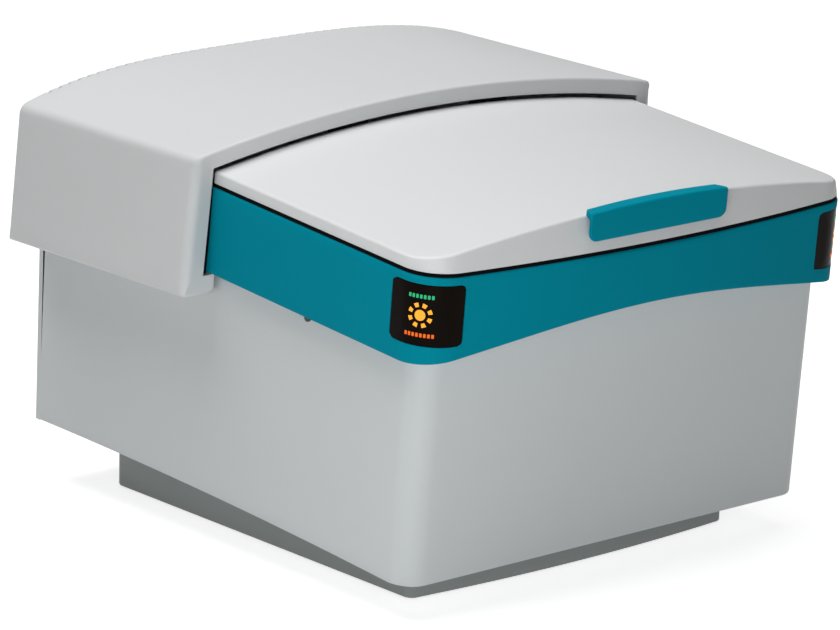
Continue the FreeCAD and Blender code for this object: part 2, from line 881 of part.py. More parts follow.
def make_frame():
    """Six posts tied by two long rails and two cross rails."""
    half = post_side / 2
    low = floor_z + sheet
    tops = ((post_front, deck_z), (post_middle, deck_z), (post_rear, post_rear_top))
    frame = None
    for side in (-1, 1):
        x = side * post_x
        for y, top in tops:
            post = block(x - half, x + half, y - half, y + half, low, top)
            frame = post if frame is None else frame.fuse(post)
        rail_low = post_rear_top - 2 * post_side
        frame = frame.fuse(block(x - half, x + half, post_front, post_rear, rail_low, rail_low + post_side))
    cross = block(-post_x, post_x, post_rear - half, post_rear + half, post_rear_top - 2 * post_side,
                  post_rear_top - post_side)
    return leaned(frame.fuse(cross))


def make_hinge_beam():
    """Beam on the middle posts that carries both hinges."""
    front, rear = beam_span()
    reach = post_x + post_side / 2
    beam = block(-reach, reach, front, rear, deck_z, deck_z + beam_height)
    hollow = block(-reach + sheet, reach - sheet, front + sheet, rear + 1, deck_z + sheet,
                   deck_z + beam_height - sheet)
    return leaned(beam.cut(hollow))


# Sample tray and its drive

def sample_spot(dz):
    """Place of the measured sample, dz above the underside of the well's floor."""
    return (0, well_y + pocket_circle, well_floor + deck_thick / 2 + dz)


def pocket_centres():
    """Centres of the tray's pockets, the first one over the beam."""
    centres = []
    for index in range(pocket_count):
        angle = math.radians(90 + 360 * index / pocket_count)
        centres.append((pocket_circle * math.cos(angle), well_y + pocket_circle * math.sin(angle)))
    return centres


def make_tray():
    """Round tray with a ring of stepped seats for the cup inserts."""
    top = tray_z + tray_thick
    tray = rod(tray_radius, (0, well_y, tray_z), (0, well_y, top))
    for x, y in pocket_centres():
        tray = tray.cut(rod(insert_radius, (x, y, tray_z + tray_thick / 2), (x, y, top + 1)))
        tray = tray.cut(rod(insert_radius - insert_ledge, (x, y, tray_z - 1), (x, y, top)))
    tray = tray.cut(rod(tray_shaft / 2, (0, well_y, tray_z - 1), (0, well_y, top + 1)))
    return leaned(tray)


def make_inserts():
    """Stepped rings in the tray's seats, each with a pocket for one cup."""
    top = tray_z + tray_thick
    inserts = []
    for x, y in pocket_centres():
        ring = rod(insert_radius - running, (x, y, tray_z + tray_thick / 2), (x, y, top))
        ring = ring.fuse(rod(insert_radius - insert_ledge - running, (x, y, tray_z), (x, y, top)))
        inserts.append(leaned(ring.cut(rod(pocket_radius, (x, y, tray_z - 1), (x, y, top + 1)))))
    return inserts


def make_tray_gear():
    """Large gear with the shaft that carries the tray."""
    wheel = gear(gear_teeth, gear_module, gear_width)
    wheel.rotate(V(0, 0, 0), V(0, 0, 1), drive_angle + 180 / gear_teeth)
    wheel.translate(V(0, well_y, gear_z))
    shaft = rod(tray_shaft, (0, well_y, gear_z), (0, well_y, tray_z))
    stub = rod(tray_shaft / 2, (0, well_y, tray_z), (0, well_y, tray_z + 3 * tray_thick))
    return leaned(wheel.fuse(shaft).fuse(stub))


def make_tray_knob():
    """Knob that holds the tray on its shaft."""
    base = tray_z + tray_thick
    knob = rod(2 * tray_shaft, (0, well_y, base), (0, well_y, base + 2.5 * tray_thick))
    knob = knob.makeFillet(tray_thick / 3, [e for e in knob.Edges if e.BoundBox.ZMin > base + 1 and e.Closed])
    return leaned(knob.cut(rod(tray_shaft / 2, (0, well_y, base - 1), (0, well_y, base + 2 * tray_thick))))


def make_cup():
    """Open sample cup with a rim that rests on the tray."""
    x, y, _ = sample_spot(0)
    top = tray_z + tray_thick
    cup = rod(cup_radius, (x, y, top - cup_below - tray_thick + 2), (x, y, top + cup_above))
    cup = cup.fuse(rod(cup_rim, (x, y, top), (x, y, top + 2)))
    floor = top - cup_below - tray_thick + 2 + cup_wall
    return leaned(cup.cut(rod(cup_radius - cup_wall, (x, y, floor), (x, y, top + 2 * cup_above))))


def make_bearing():
    """Flanged bearing under the well that guides the tray's shaft."""
    top = well_floor
    bearing = rod(bearing_radius, (0, well_y, top - sheet), (0, well_y, top))
    bearing = bearing.fuse(rod(bearing_radius - 4, (0, well_y, top - bearing_height), (0, well_y, top)))
    return leaned(bearing.cut(rod(tray_shaft + running, (0, well_y, gear_z), (0, well_y, top + 1))))


def drive_centre():
    """Housing-frame x and y of the pinion's axis."""
    spacing = gear_module * (gear_teeth + pinion_teeth) / 2
    angle = math.radians(drive_angle)
    return spacing * math.cos(angle), well_y + spacing * math.sin(angle)


def make_pinion():
    """Drive pinion on the motor's shaft."""
    x, y = drive_centre()
    wheel = gear(pinion_teeth, gear_module, gear_width)
    wheel.rotate(V(0, 0, 0), V(0, 0, 1), drive_angle + 180)
    wheel.translate(V(x, y, gear_z))
    shaft = rod(motor_shaft, (x, y, gear_z - motor_height / 2), (x, y, gear_z))
    return leaned(wheel.fuse(shaft))


def motor_top():
    """Height of the tray motor's top face."""
    return gear_z - 2 * sheet


def make_motor():
    """Square stepping motor below the pinion."""
    x, y = drive_centre()
    half = motor_side / 2
    top = motor_top()
    body = block(x - half, x + half, y - half, y + half, top - motor_height, top)
    body = body.makeChamfer(sheet, [e for e in body.Edges if e.BoundBox.ZLength > motor_height / 2])
    return leaned(body.cut(rod(motor_shaft + running, (x, y, top - motor_height / 2 - sheet), (x, y, top + 1))))


def make_motor_mount():
    """Plate and four pillars that hang the motor from the well."""
    x, y = drive_centre()
    half = motor_side / 2 + 3
    top = motor_top()
    mount = block(x - half, x + half, y - half, y + half, top, top + sheet)
    mount = mount.cut(rod(motor_side / 4, (x, y, top - 1), (x, y, top + 2 * sheet)))
    gear_reach = gear_module * (gear_teeth / 2 + 1) + standoff_radius
    for sx in (-1, 1):
        for sy in (-1, 1):
            px, py = x + sx * (half - standoff_radius), y + sy * (half - standoff_radius)
            if math.hypot(px, py - well_y) > gear_reach:
                mount = mount.fuse(rod(standoff_radius, (px, py, top), (px, py, well_floor)))
    return leaned(mount)


# Measuring chamber and its arms

def armed(shape, side):
    """Place a shape from an arm's frame: the arm hangs down -Z from the sample."""
    placed = shape.copy()
    placed.rotate(V(0, 0, 0), V(0, 1, 0), -side * beam_angle)
    placed.translate(V(*sample_spot(0)))
    return leaned(placed)


def make_chamber():
    """Metal block under the well, bored for the tube and the detector."""
    x0, y0, z0 = sample_spot(0)
    c = math.cos(math.radians(beam_angle))
    s = math.sin(math.radians(beam_angle))
    mid_x, mid_z = port_distance * s, -port_distance * c
    out_x, out_z = mid_x + port_half * c, mid_z + port_half * s
    in_x, in_z = mid_x - port_half * c, mid_z - port_half * s
    top = well_floor - z0
    low = -chamber_low
    right = [(out_x, top), (out_x, out_z), (in_x, in_z), (in_x, min(low, in_z - 1))]
    points = right + [(-x, z) for x, z in reversed(right)]
    half = chamber_depth / 2
    chamber = polygon_prism([(x0 + x, y0 - half, z0 + z) for x, z in points], (0, chamber_depth, 0))
    chamber = chamber.cut(rod(aperture, (x0, y0, z0 - port_distance / 2), (x0, y0, z0 + 2)))
    chamber = leaned(chamber)
    for side in (-1, 1):
        chamber = chamber.cut(armed(rod(port_radius, (0, 0, -2 * port_distance), (0, 0, 0)), side))
    for rail in make_rails():
        chamber = chamber.fuse(rail)
    return chamber


def make_rails():
    """Two rails on the tube's port that guide the beam shutter."""
    rails = []
    for side in (-1, 1):
        inner = shutter_half + running
        low = -port_distance - shutter_thick - 2 * slack
        rail = block(inner, inner + rail_width, -chamber_depth / 2, chamber_depth / 2, low, -port_distance)
        if side < 0:
            rail = rail.mirror(V(0, 0, 0), V(1, 0, 0))
        rails.append(armed(rail, -1))
    return rails


def make_shutter():
    """Sliding beam stop with its aperture and the solenoid's rod."""
    top = -port_distance - slack
    low = top - shutter_thick
    reach = chamber_depth / 2
    plate = block(-shutter_half, shutter_half, -shutter_travel - port_radius - sheet, reach + sheet, low, top)
    plate = plate.cut(rod(port_radius, (0, -shutter_travel, low - 1), (0, -shutter_travel, top + 1)))
    middle = (low + top) / 2
    bar = rod(rod_radius / 2, (0, reach, middle), (0, solenoid_front() + solenoid_length / 4, middle))
    return armed(plate.fuse(bar), -1)


def solenoid_front():
    """Arm-frame y of the solenoid's front face, clear of the filter wheel."""
    return wheel_offset + wheel_radius + sheet


def make_solenoid():
    """Solenoid that pulls the shutter open."""
    middle = -port_distance - slack - shutter_thick / 2
    half = solenoid_side / 2
    front = solenoid_front()
    body = block(-half, half, front, front + solenoid_length, middle - half, middle + half)
    hole = rod(rod_radius / 2 + running, (0, front - 1, middle), (0, front + solenoid_length - sheet, middle))
    return armed(body.cut(hole), -1)


def make_shutter_bracket():
    """Arm from the chamber's rear face to the solenoid."""
    middle = -port_distance - slack - shutter_thick / 2
    seat = middle + solenoid_side / 2
    back = solenoid_front() + solenoid_length
    bracket = block(-solenoid_side / 3, solenoid_side / 3, chamber_depth / 2, back, seat, seat + 2 * sheet)
    return armed(bracket, -1)


def wheel_top():
    """Arm-frame z of the filter wheel's upper face."""
    return -port_distance - shutter_thick - 2 * slack - sheet


def make_wheel():
    """Filter wheel with its shaft."""
    top = wheel_top()
    low = top - wheel_thick
    wheel = rod(wheel_radius, (0, wheel_offset, low), (0, wheel_offset, top))
    for index in range(filter_count):
        angle = math.radians(-90 + 360 * index / filter_count)
        x = wheel_offset * math.cos(angle)
        y = wheel_offset + wheel_offset * math.sin(angle)
        wheel = wheel.cut(rod(filter_radius, (x, y, low - 1), (x, y, top + 1)))
    shaft = rod(motor_shaft, (0, wheel_offset, low - 5 * sheet), (0, wheel_offset, low))
    return armed(wheel.fuse(shaft), -1)


def make_filters():
    """Thin filter discs seated in all but the first of the wheel's holes."""
    top = wheel_top()
    low = top - wheel_thick
    discs = []
    for index in range(1, filter_count):
        angle = math.radians(-90 + 360 * index / filter_count)
        x = wheel_offset * math.cos(angle)
        y = wheel_offset + wheel_offset * math.sin(angle)
        discs.append(armed(rod(filter_radius, (x, y, low + 1), (x, y, top - 1)), -1))
    return discs


def plate_top():
    """Arm-frame z of the upper face of the plate that carries the tube."""
    return wheel_top() - wheel_thick - sheet / 2


def make_optics_bracket():
    """Plate and pillars that carry the tube and the filter motor."""
    top = plate_top()
    low = top - sheet
    half = tube_radius + sheet
    pillar_y = standoff_radius + 1 - chamber_depth / 2
    edge = min(-half, pillar_y - standoff_radius)
    plate = block(-half, half, edge, wheel_offset + filter_motor_radius, low, top)
    plate = plate.cut(rod(tube_nose + slack, (0, 0, low - 1), (0, 0, top + 1)))
    plate = plate.cut(rod(motor_shaft + slack, (0, wheel_offset, low - 1), (0, wheel_offset, top + 1)))
    for side in (-1, 1):
        x = side * (port_half - standoff_radius - 1)
        plate = plate.fuse(rod(standoff_radius, (x, pillar_y, low), (x, pillar_y, -port_distance)))
    return armed(plate, -1)


def make_tube():
    """X-ray tube: nose, flange, body and cooling fins."""
    top = plate_top() - sheet
    low = top - tube_length
    tube = rod(tube_radius - 2 * sheet, (0, 0, low), (0, 0, top))
    tube = tube.fuse(rod(tube_nose, (0, 0, top), (0, 0, top + sheet)))
    tube = tube.fuse(rod(tube_radius, (0, 0, top - 2 * sheet), (0, 0, top)))
    for index in range(6):
        z = low + tube_length * (0.15 + 0.1 * index)
        tube = tube.fuse(rod(tube_radius, (0, 0, z), (0, 0, z + sheet)))
    return armed(tube, -1)


def make_filter_motor():
    """Small motor that turns the filter wheel."""
    top = plate_top() - sheet
    low = top - filter_motor_length
    motor = rod(filter_motor_radius, (0, wheel_offset, low), (0, wheel_offset, top))
    hole = rod(motor_shaft + running, (0, wheel_offset, low + 4 * sheet), (0, wheel_offset, top + 1))
    return armed(motor.cut(hole), -1)


def make_detector():
    """Detector: snout, flange, cooled body and its amplifier box."""
    face = -port_distance
    snout = rod(port_radius - slack, (0, 0, face), (0, 0, face + detector_radius))
    flange = rod(port_half - 2, (0, 0, face - sheet), (0, 0, face))
    low = face - detector_length
    body = rod(detector_radius, (0, 0, low), (0, 0, face))
    half = detector_radius + sheet
    box = block(-half, half, -half, half, low - detector_length, low)
    return armed(snout.fuse(flange).fuse(body).fuse(box), 1)


# Boxes and boards on the floor

def floor_box(size, place, lift):
    """Box on the floor at a place, lifted from it."""
    x, y = place
    low = floor_z + sheet + lift
    return block(x - size[0] / 2, x + size[0] / 2, y - size[1] / 2, y + size[1] / 2, low, low + size[2])


def make_generator():
    """High-voltage generator with its round terminal."""
    body = floor_box(generator_size, generator_place, 0)
    body = body.makeFillet(sheet, [e for e in body.Edges if e.BoundBox.ZLength > generator_size[2] / 2])
    x, y = generator_place
    top = floor_z + sheet + generator_size[2]
    return leaned(body.fuse(rod(tube_radius / 2, (x, y, top), (x, y, top + tube_radius))))


def make_supply():
    """Low-voltage power supply in its can."""
    body = floor_box(supply_size, supply_place, 0)
    x, y = supply_place
    front = y - supply_size[1] / 2
    low = floor_z + sheet
    slot_low, slot_high = low + supply_slot_inset, low + supply_size[2] - supply_slot_inset
    half = supply_slot_width / 2
    for index in range(supply_slots):
        sx = x + (index - (supply_slots - 1) / 2) * supply_size[0] / (supply_slots + 2)
        body = body.cut(block(sx - half, sx + half, front - 1, front + half, slot_low, slot_high))
    return leaned(body)


def standoff_spots():
    """Centres of the four standoffs under the main board."""
    x, y = main_board_place
    dx, dy = board_size[0] / 2 - 2 * standoff_radius, board_size[1] / 2 - 2 * standoff_radius
    return [(x + sx * dx, y + sy * dy) for sx in (-1, 1) for sy in (-1, 1)]


def make_board():
    """Control board with a shielded module and a row of connectors."""
    board = floor_box((board_size[0], board_size[1], board_thick), main_board_place, standoff_height)
    x, y = main_board_place
    top = floor_z + sheet + standoff_height + board_thick
    width, depth = board_size
    board = board.fuse(block(x - width * 0.3, x + width * 0.1, y - depth * 0.2, y + depth * 0.25, top, top + 8))
    board = board.fuse(block(x + width * 0.2, x + width * 0.4, y - depth * 0.3, y + depth * 0.1, top, top + 3))
    for index in range(4):
        cx = x - width * 0.35 + index * width * 0.2
        board = board.fuse(block(cx, cx + width * 0.12, y - depth * 0.45, y - depth * 0.37, top, top + 10))
    return leaned(board)


def make_standoffs():
    """Four standoffs under the main board."""
    low = floor_z + sheet
    return [leaned(rod(standoff_radius, (x, y, low), (x, y, low + standoff_height))) for x, y in standoff_spots()]


# Interlock

def make_switch():
    """Interlock switch under the deck."""
    half = 3 * plunger_radius
    top = deck_z
    body = block(switch_x - half, switch_x + half, switch_y - half, switch_y + half, top - 6 * half / 2, top)
    depth = top - 3 * half + sheet
    return leaned(body.cut(rod(plunger_radius + running, (switch_x, switch_y, depth), (switch_x, switch_y, top + 1))))


def make_plunger():
    """Sprung plunger that the closed lid presses."""
    top = seam_z + liner_drop - slack
    low = deck_z - 3 * plunger_radius
    return leaned(rod(plunger_radius, (switch_x, switch_y, low), (switch_x, switch_y, top)))


# Rear panel and its fittings, drawn with Y pointing out of the panel

def panelled(shape):
    """Place a shape from the rear panel's frame."""
    placed = shape.copy()
    placed.rotate(V(0, 0, 0), V(1, 0, 0), rear_lean)
    placed.translate(V(0, rear_bottom_y, body_low_rear))
    return placed


def panel_height():
    """Height of the rear panel along its face."""
    return (hood_low - hood_seam - body_low_rear) / math.cos(math.radians(rear_lean))


def panel_box(place, size, y0, y1):
    """Box centred on a place of the panel, between two depths."""
    x, z = place
    return block(x - size[0] / 2, x + size[0] / 2, y0, y1, z - size[1] / 2, z + size[1] / 2)


def grown(size, by):
    """Size of a cut-out round a fitting."""
    return (size[0] + 2 * by, size[1] + 2 * by)


def fan_screw_spots(x):
    """Screw places of one fan."""
    half = fan_side / 2 - 4.5
    return [(x + sx * half, fan_height + sz * half) for sx in (-1, 1) for sz in (-1, 1)]


def panel_screw_spots():
    """Screw places round the rear panel's edge."""
    x = body_half - 12
    z = panel_height() - 12
    return [(sx * x, place) for sx in (-1, 1) for place in (12, z / 2 + 6, z)]


def usb_spots():
    """Places of the two data sockets."""
    x, z = usb_place
    return [(x, z), (x, z + usb_pitch)]


def make_rear_panel():
    """Rear panel with the cut-outs of its fittings."""
    panel = block(-body_half, body_half, -rear_thick, 0, 0, panel_height())
    for x in fan_places:
        panel = panel.cut(rod(fan_bore, (x, -rear_thick - 1, fan_height), (x, 1, fan_height)))
        for px, pz in fan_screw_spots(x):
            panel = panel.cut(rod(screw_radius, (px, -rear_thick - 1, pz), (px, 1, pz)))
    cuts = [(inlet_place, grown(inlet_flange, -4)), (rocker_place, grown(rocker_size, 3))]
    cuts += [(fuse_place, grown(fuse_size, 2)), (network_place, grown(network_cavity, 2))]
    cuts += [(spot, usb_can) for spot in usb_spots()]
    for place, size in cuts:
        panel = panel.cut(panel_box(place, size, -rear_thick - 1, 1))
    x, z = gas_place
    panel = panel.cut(rod(2 * gas_radius, (x, -rear_thick - 1, z), (x, 1, z)))
    for px, pz in panel_screw_spots():
        panel = panel.cut(rod(screw_radius, (px, -rear_thick - 1, pz), (px, 1, pz)))
    return panelled(panel)


def make_panel_screws():
    """Screws round the rear panel and at the fans."""
    screws = []
    for px, pz in panel_screw_spots():
        head = rod(panel_screw_head, (px, 0, pz), (px, 2, pz))
        screws.append(panelled(head.fuse(rod(screw_radius - running, (px, -rear_thick, pz), (px, 0, pz)))))
    for x in fan_places:
        for px, pz in fan_screw_spots(x):
            screws.append(panelled(rod(screw_radius - running, (px, -rear_thick, pz), (px, 0, pz))))
    return screws


def make_fan_frames():
    """Two fan frames with their hub spiders."""
    frames = []
    back = -rear_thick - fan_depth
    for x in fan_places:
        frame = panel_box((x, fan_height), (fan_side, fan_side), back, -rear_thick)
        frame = frame.cut(rod(fan_bore, (x, back - 1, fan_height), (x, 0, fan_height)))
        disc = rod(fan_hub, (x, back, fan_height), (x, back + sheet, fan_height))
        for angle in (45, 135):
            arm = block(-fan_bore - 1, fan_bore + 1, back, back + sheet, -1.5, 1.5)
            arm.rotate(V(0, 0, 0), V(0, 1, 0), angle)
            arm.translate(V(x, 0, fan_height))
            disc = disc.fuse(arm)
        pin = rod(1.5, (x, back, fan_height), (x, back + fan_depth / 2, fan_height))
        frames.append(panelled(frame.fuse(disc).fuse(pin)))
    return frames


def make_rotor(x):
    """Fan rotor: hub and seven pitched blades."""
    low = -rear_thick - fan_depth + sheet + 1
    high = -rear_thick - 2
    rotor = rod(fan_hub, (0, low, 0), (0, high, 0))
    reach = fan_bore - 1
    for index in range(fan_blades):
        blade = block(fan_hub - 2, reach, -1, 1, -(high - low) * 0.45, (high - low) * 0.45)
        blade.rotate(V(0, 0, 0), V(1, 0, 0), 55)
        blade.translate(V(0, (low + high) / 2, 0))
        blade.rotate(V(0, 0, 0), V(0, 1, 0), 360 * index / fan_blades)
        rotor = rotor.fuse(blade)
    sweep = rod(reach, (0, low, 0), (0, high, 0))
    rotor = rotor.common(sweep)
    rotor = rotor.cut(rod(1.5 + running, (0, low - 1, 0), (0, low + fan_depth / 2, 0)))
    rotor.translate(V(x, 0, fan_height))
    return panelled(rotor)


def make_guards():
    """Two wire finger guards over the fans."""
    reach = (fan_side / 2 - 1) * math.sqrt(2) - guard_bar_end
    guards = []
    for x in fan_places:
        guard = None
        for radius in guard_rings:
            ring = Part.makeTorus(radius, guard_wire, V(0, guard_wire / 2, 0), V(0, 1, 0))
            guard = ring if guard is None else guard.fuse(ring)
        for angle in (45, 135):
            bar = rod(guard_wire, (-reach, 0, 0), (reach, 0, 0))
            bar.rotate(V(0, 0, 0), V(0, 1, 0), angle)
            guard = guard.fuse(bar)
        guard.translate(V(x, guard_wire, fan_height))
        guards.append(panelled(guard))
    return guards


def make_inlet():
    """Mains inlet with its recessed cavity and three pins."""
    inlet = panel_box(inlet_place, inlet_flange, 0, 2.5)
    inlet = inlet.fuse(panel_box(inlet_place, grown(inlet_flange, -4 - slack), -inlet_depth - 6, 0))
    inlet = inlet.cut(panel_box(inlet_place, inlet_cavity, -inlet_depth + 2.5, 4))
    x, z = inlet_place
    for dx, dz in inlet_pins:
        inlet = inlet.fuse(panel_box((x + dx, z + dz), (2, 4), -inlet_depth, -4))
    return panelled(inlet)


def make_rocker_frame():
    """Frame that holds the power rocker on two side pivots."""
    outer = grown(rocker_size, 3 - slack)
    frame = panel_box(rocker_place, grown(rocker_size, 5), 0, 2)
    frame = frame.fuse(panel_box(rocker_place, outer, -rocker_depth, 0))
    frame = frame.cut(panel_box(rocker_place, grown(rocker_size, slack), 2 - rocker_depth, 3))
    x, z = rocker_place
    half = rocker_size[0] / 2 + 3 - slack
    pivot = rod(1.5 + running, (x - half - 1, -4, z), (x + half + 1, -4, z))
    return panelled(frame.cut(pivot))


def make_rocker():
    """Power rocker with a dished face, resting at off."""
    width, height = rocker_size
    rise = math.tan(math.radians(rocker_tilt)) * height / 2
    half = height / 2 - 0.8
    points = [(-half, 3 + rise), (0, 3), (half, 3 + rise), (half * 0.9, -2), (0, -5), (-half * 0.9, -2)]
    body = polygon_prism([(-width / 2, y, z) for z, y in points], (width, 0, 0))
    body = body.fuse(rod(1.5, (-width / 2 - 2, 0, 0), (width / 2 + 2, 0, 0)))
    body.rotate(V(0, 0, 0), V(1, 0, 0), -rocker_tilt)
    x, z = rocker_place
    body.translate(V(x, -4, z))
    return panelled(body)


def make_fuse_drawer():
    """Fuse drawer with a finger rim."""
    x, z = fuse_place
    drawer = panel_box(fuse_place, grown(fuse_size, 2 - slack), -fuse_depth, 0)
    drawer = drawer.cut(panel_box(fuse_place, grown(fuse_size, -2), -fuse_depth + 3, -4))
    face = panel_box(fuse_place, grown(fuse_size, 3), 0, 2)
    grip = panel_box((x, z - fuse_size[1] / 4), (fuse_size[0] * 0.6, 2), 2, 4)
    top_open = panel_box((x, z + fuse_size[1] / 2), (fuse_size[0] - 4, fuse_size[1]), -fuse_depth + 3, -8)
    return panelled(drawer.cut(top_open).fuse(face).fuse(grip))


def make_network_socket():
    """Network socket with an open cavity."""
    socket = panel_box(network_place, grown(network_cavity, 2 - slack), -network_depth, 0.5)
    return panelled(socket.cut(panel_box(network_place, network_cavity, 4 - network_depth, 1)))


def make_usb_sockets():
    """Two data sockets with their tongues."""
    sockets = []
    for place in usb_spots():
        socket = panel_box(place, grown(usb_can, -slack), -usb_depth, 0.5)
        socket = socket.cut(panel_box(place, usb_mouth, 2 - usb_depth, 1))
        tongue = panel_box((place[0], place[1] + 1), (11.0, 1.8), 1 - usb_depth, -1)
        sockets.append(panelled(socket.fuse(tongue)))
    return sockets


def make_gas_fitting():
    """Push-in gas fitting with a hexagon collar."""
    x, z = gas_place
    fitting = rod(2 * gas_radius - running, (x, -rear_thick - 10, z), (x, gas_length, z))
    hexagon = []
    for index in range(6):
        angle = math.radians(60 * index)
        hexagon.append((x + 9 * math.cos(angle), 0, z + 9 * math.sin(angle)))
    fitting = fitting.fuse(polygon_prism(hexagon, (0, 5, 0)))
    return panelled(fitting.cut(rod(gas_radius, (x, 0, z), (x, gas_length + 1, z))))


def main():
    """Make every sub-part and write it."""
    os.makedirs("parts", exist_ok=True)
    save("plinth_base", make_plinth())
    save("rubber_feet", *make_feet())
    save("chassis_floor", make_floor())
    save("chassis_frame", make_frame())
    save("hinge_beam", make_hinge_beam())
    save("body_shell", make_body())
    save("housing_screws", *make_side_screws(), *make_panel_screws())
    save("top_deck", make_deck())
    save("collar_band", make_collar())
    save("lid_seal", make_seal())
    for side, name in ((-1, "left"), (1, "right")):
        save("status_window_" + name, make_window(side))
    save("indicator_boards", make_lamp_board(-1), make_lamp_board(1))
    save("indicator_lamps", *make_lamps(-1), *make_lamps(1))
    save("lid_shell", make_lid())
    save("lid_liner", make_liner())
    save("pull_handle", make_handle())
    save("handle_screws", *make_handle_screws())
    save("hinge_leaves", make_leaf(-1), make_leaf(1))
    save("hinge_pins", make_hinge_pin(-1), make_hinge_pin(1))
    save("hinge_brackets", make_hinge_bracket(-1), make_hinge_bracket(1))
    save("rear_hood", make_hood())
    save("hood_brackets", *make_hood_brackets())
    save("sample_tray", make_tray())
    save("tray_inserts", *make_inserts())
    save("tray_gear", make_tray_gear())
    save("tray_knob", make_tray_knob())
    save("sample_cup", make_cup())
    save("tray_bearing", make_bearing())
    save("drive_pinion", make_pinion())
    save("tray_motor", make_motor())
    save("motor_mount", make_motor_mount())
    save("measuring_chamber", make_chamber())
    save("beam_shutter", make_shutter())
    save("shutter_solenoid", make_solenoid())
    save("shutter_bracket", make_shutter_bracket())
    save("filter_wheel", make_wheel())
    save("filter_discs", *make_filters())
    save("filter_motor", make_filter_motor())
    save("optics_bracket", make_optics_bracket())
    save("xray_tube", make_tube())
    save("detector", make_detector())
    save("high_voltage_generator", make_generator())
    save("power_supply", make_supply())
    save("control_board", make_board())
    save("board_standoffs", *make_standoffs())
    save("interlock_switch", make_switch())
    save("interlock_plunger", make_plunger())
    save("rear_panel", make_rear_panel())
    save("fan_frames", *make_fan_frames())
    for x, name in zip(fan_places, ("right", "left")):
        save("fan_rotor_" + name, make_rotor(x))
    save("fan_guards", *make_guards())
    save("mains_inlet", make_inlet())
    save("rocker_frame", make_rocker_frame())
    save("power_rocker", make_rocker())
    save("fuse_drawer", make_fuse_drawer())
    save("network_socket", make_network_socket())
    save("usb_sockets", *make_usb_sockets())
    save("gas_fitting", make_gas_fitting())


main()
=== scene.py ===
"""Benchtop x-ray fluorescence spectrometer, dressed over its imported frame.

Sizes below are millimetres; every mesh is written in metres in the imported
model's frame: +Z up, the user on the -Y side, the origin under the middle.
"""
from __future__ import annotations

import logging
import math
from dataclasses import dataclass, field, replace
from enum import Enum
from functools import cached_property

import bmesh
import bpy
import numpy as np
from mathutils import Matrix, Vector


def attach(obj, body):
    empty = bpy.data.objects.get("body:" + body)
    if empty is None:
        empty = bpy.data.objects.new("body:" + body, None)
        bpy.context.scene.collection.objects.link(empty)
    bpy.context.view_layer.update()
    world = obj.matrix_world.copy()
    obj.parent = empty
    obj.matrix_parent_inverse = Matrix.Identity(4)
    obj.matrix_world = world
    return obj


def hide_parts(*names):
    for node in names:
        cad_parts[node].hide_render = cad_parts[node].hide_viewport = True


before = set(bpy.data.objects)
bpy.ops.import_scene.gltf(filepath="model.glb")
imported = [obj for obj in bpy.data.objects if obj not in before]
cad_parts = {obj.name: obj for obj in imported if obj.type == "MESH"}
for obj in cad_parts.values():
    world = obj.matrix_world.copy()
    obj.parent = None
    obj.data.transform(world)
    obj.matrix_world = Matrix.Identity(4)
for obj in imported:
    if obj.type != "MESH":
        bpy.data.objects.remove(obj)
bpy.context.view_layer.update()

LOG = logging.getLogger("spectrometer")
MM = 0.001
QUARTER = math.pi / 2
TURN = 2 * math.pi
ORIGIN_Y = 32.9581
WELD = 2e-6
SLIVER = 1e-6
SOFT_EDGE = math.radians(55)
PASSES = 4
COLOUR_A, COLOUR_B, COLOUR_OUT = 6, 7, 2


def tangent(degrees: float) -> float:
    """Tangent of an angle in degrees."""
    return math.tan(math.radians(degrees))


@dataclass(frozen=True)
class Frame3:
    """A drawing frame: points are turned about X, then moved.

    The lean is a: y' = y cos a - z sin a + dy and z' = y sin a + z cos a + dz.
    """

    lean: float
    dy: float
    dz: float = 0.0

    def cosine(self) -> float:
        """Cosine of the lean."""
        return math.cos(math.radians(self.lean))

    def sine(self) -> float:
        """Sine of the lean."""
        return math.sin(math.radians(self.lean))

    def place(self, points: np.ndarray) -> np.ndarray:
        """Turn and move points.

        Args:
            points: array whose last axis is x, y, z in this frame.

        Returns:
            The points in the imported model's frame, still in millimetres.
        """
        c, s = self.cosine(), self.sine()
        out = np.empty_like(points, dtype=float)
        out[..., 0] = points[..., 0]
        out[..., 1] = points[..., 1] * c - points[..., 2] * s + self.dy
        out[..., 2] = points[..., 1] * s + points[..., 2] * c + self.dz
        return out


HOUSING = Frame3(4.8, ORIGIN_Y)
UPRIGHT = Frame3(0.0, ORIGIN_Y)
PANEL = Frame3(2.3, ORIGIN_Y + 284.0, 65.5)


class Family(Enum):
    """What a finish is made of: a metal gets a metal's shader, and a lit one glows."""

    PLASTIC = "plastic"
    PAINT = "paint"
    METAL = "metal"
    RUBBER = "rubber"
    LIT = "lit"


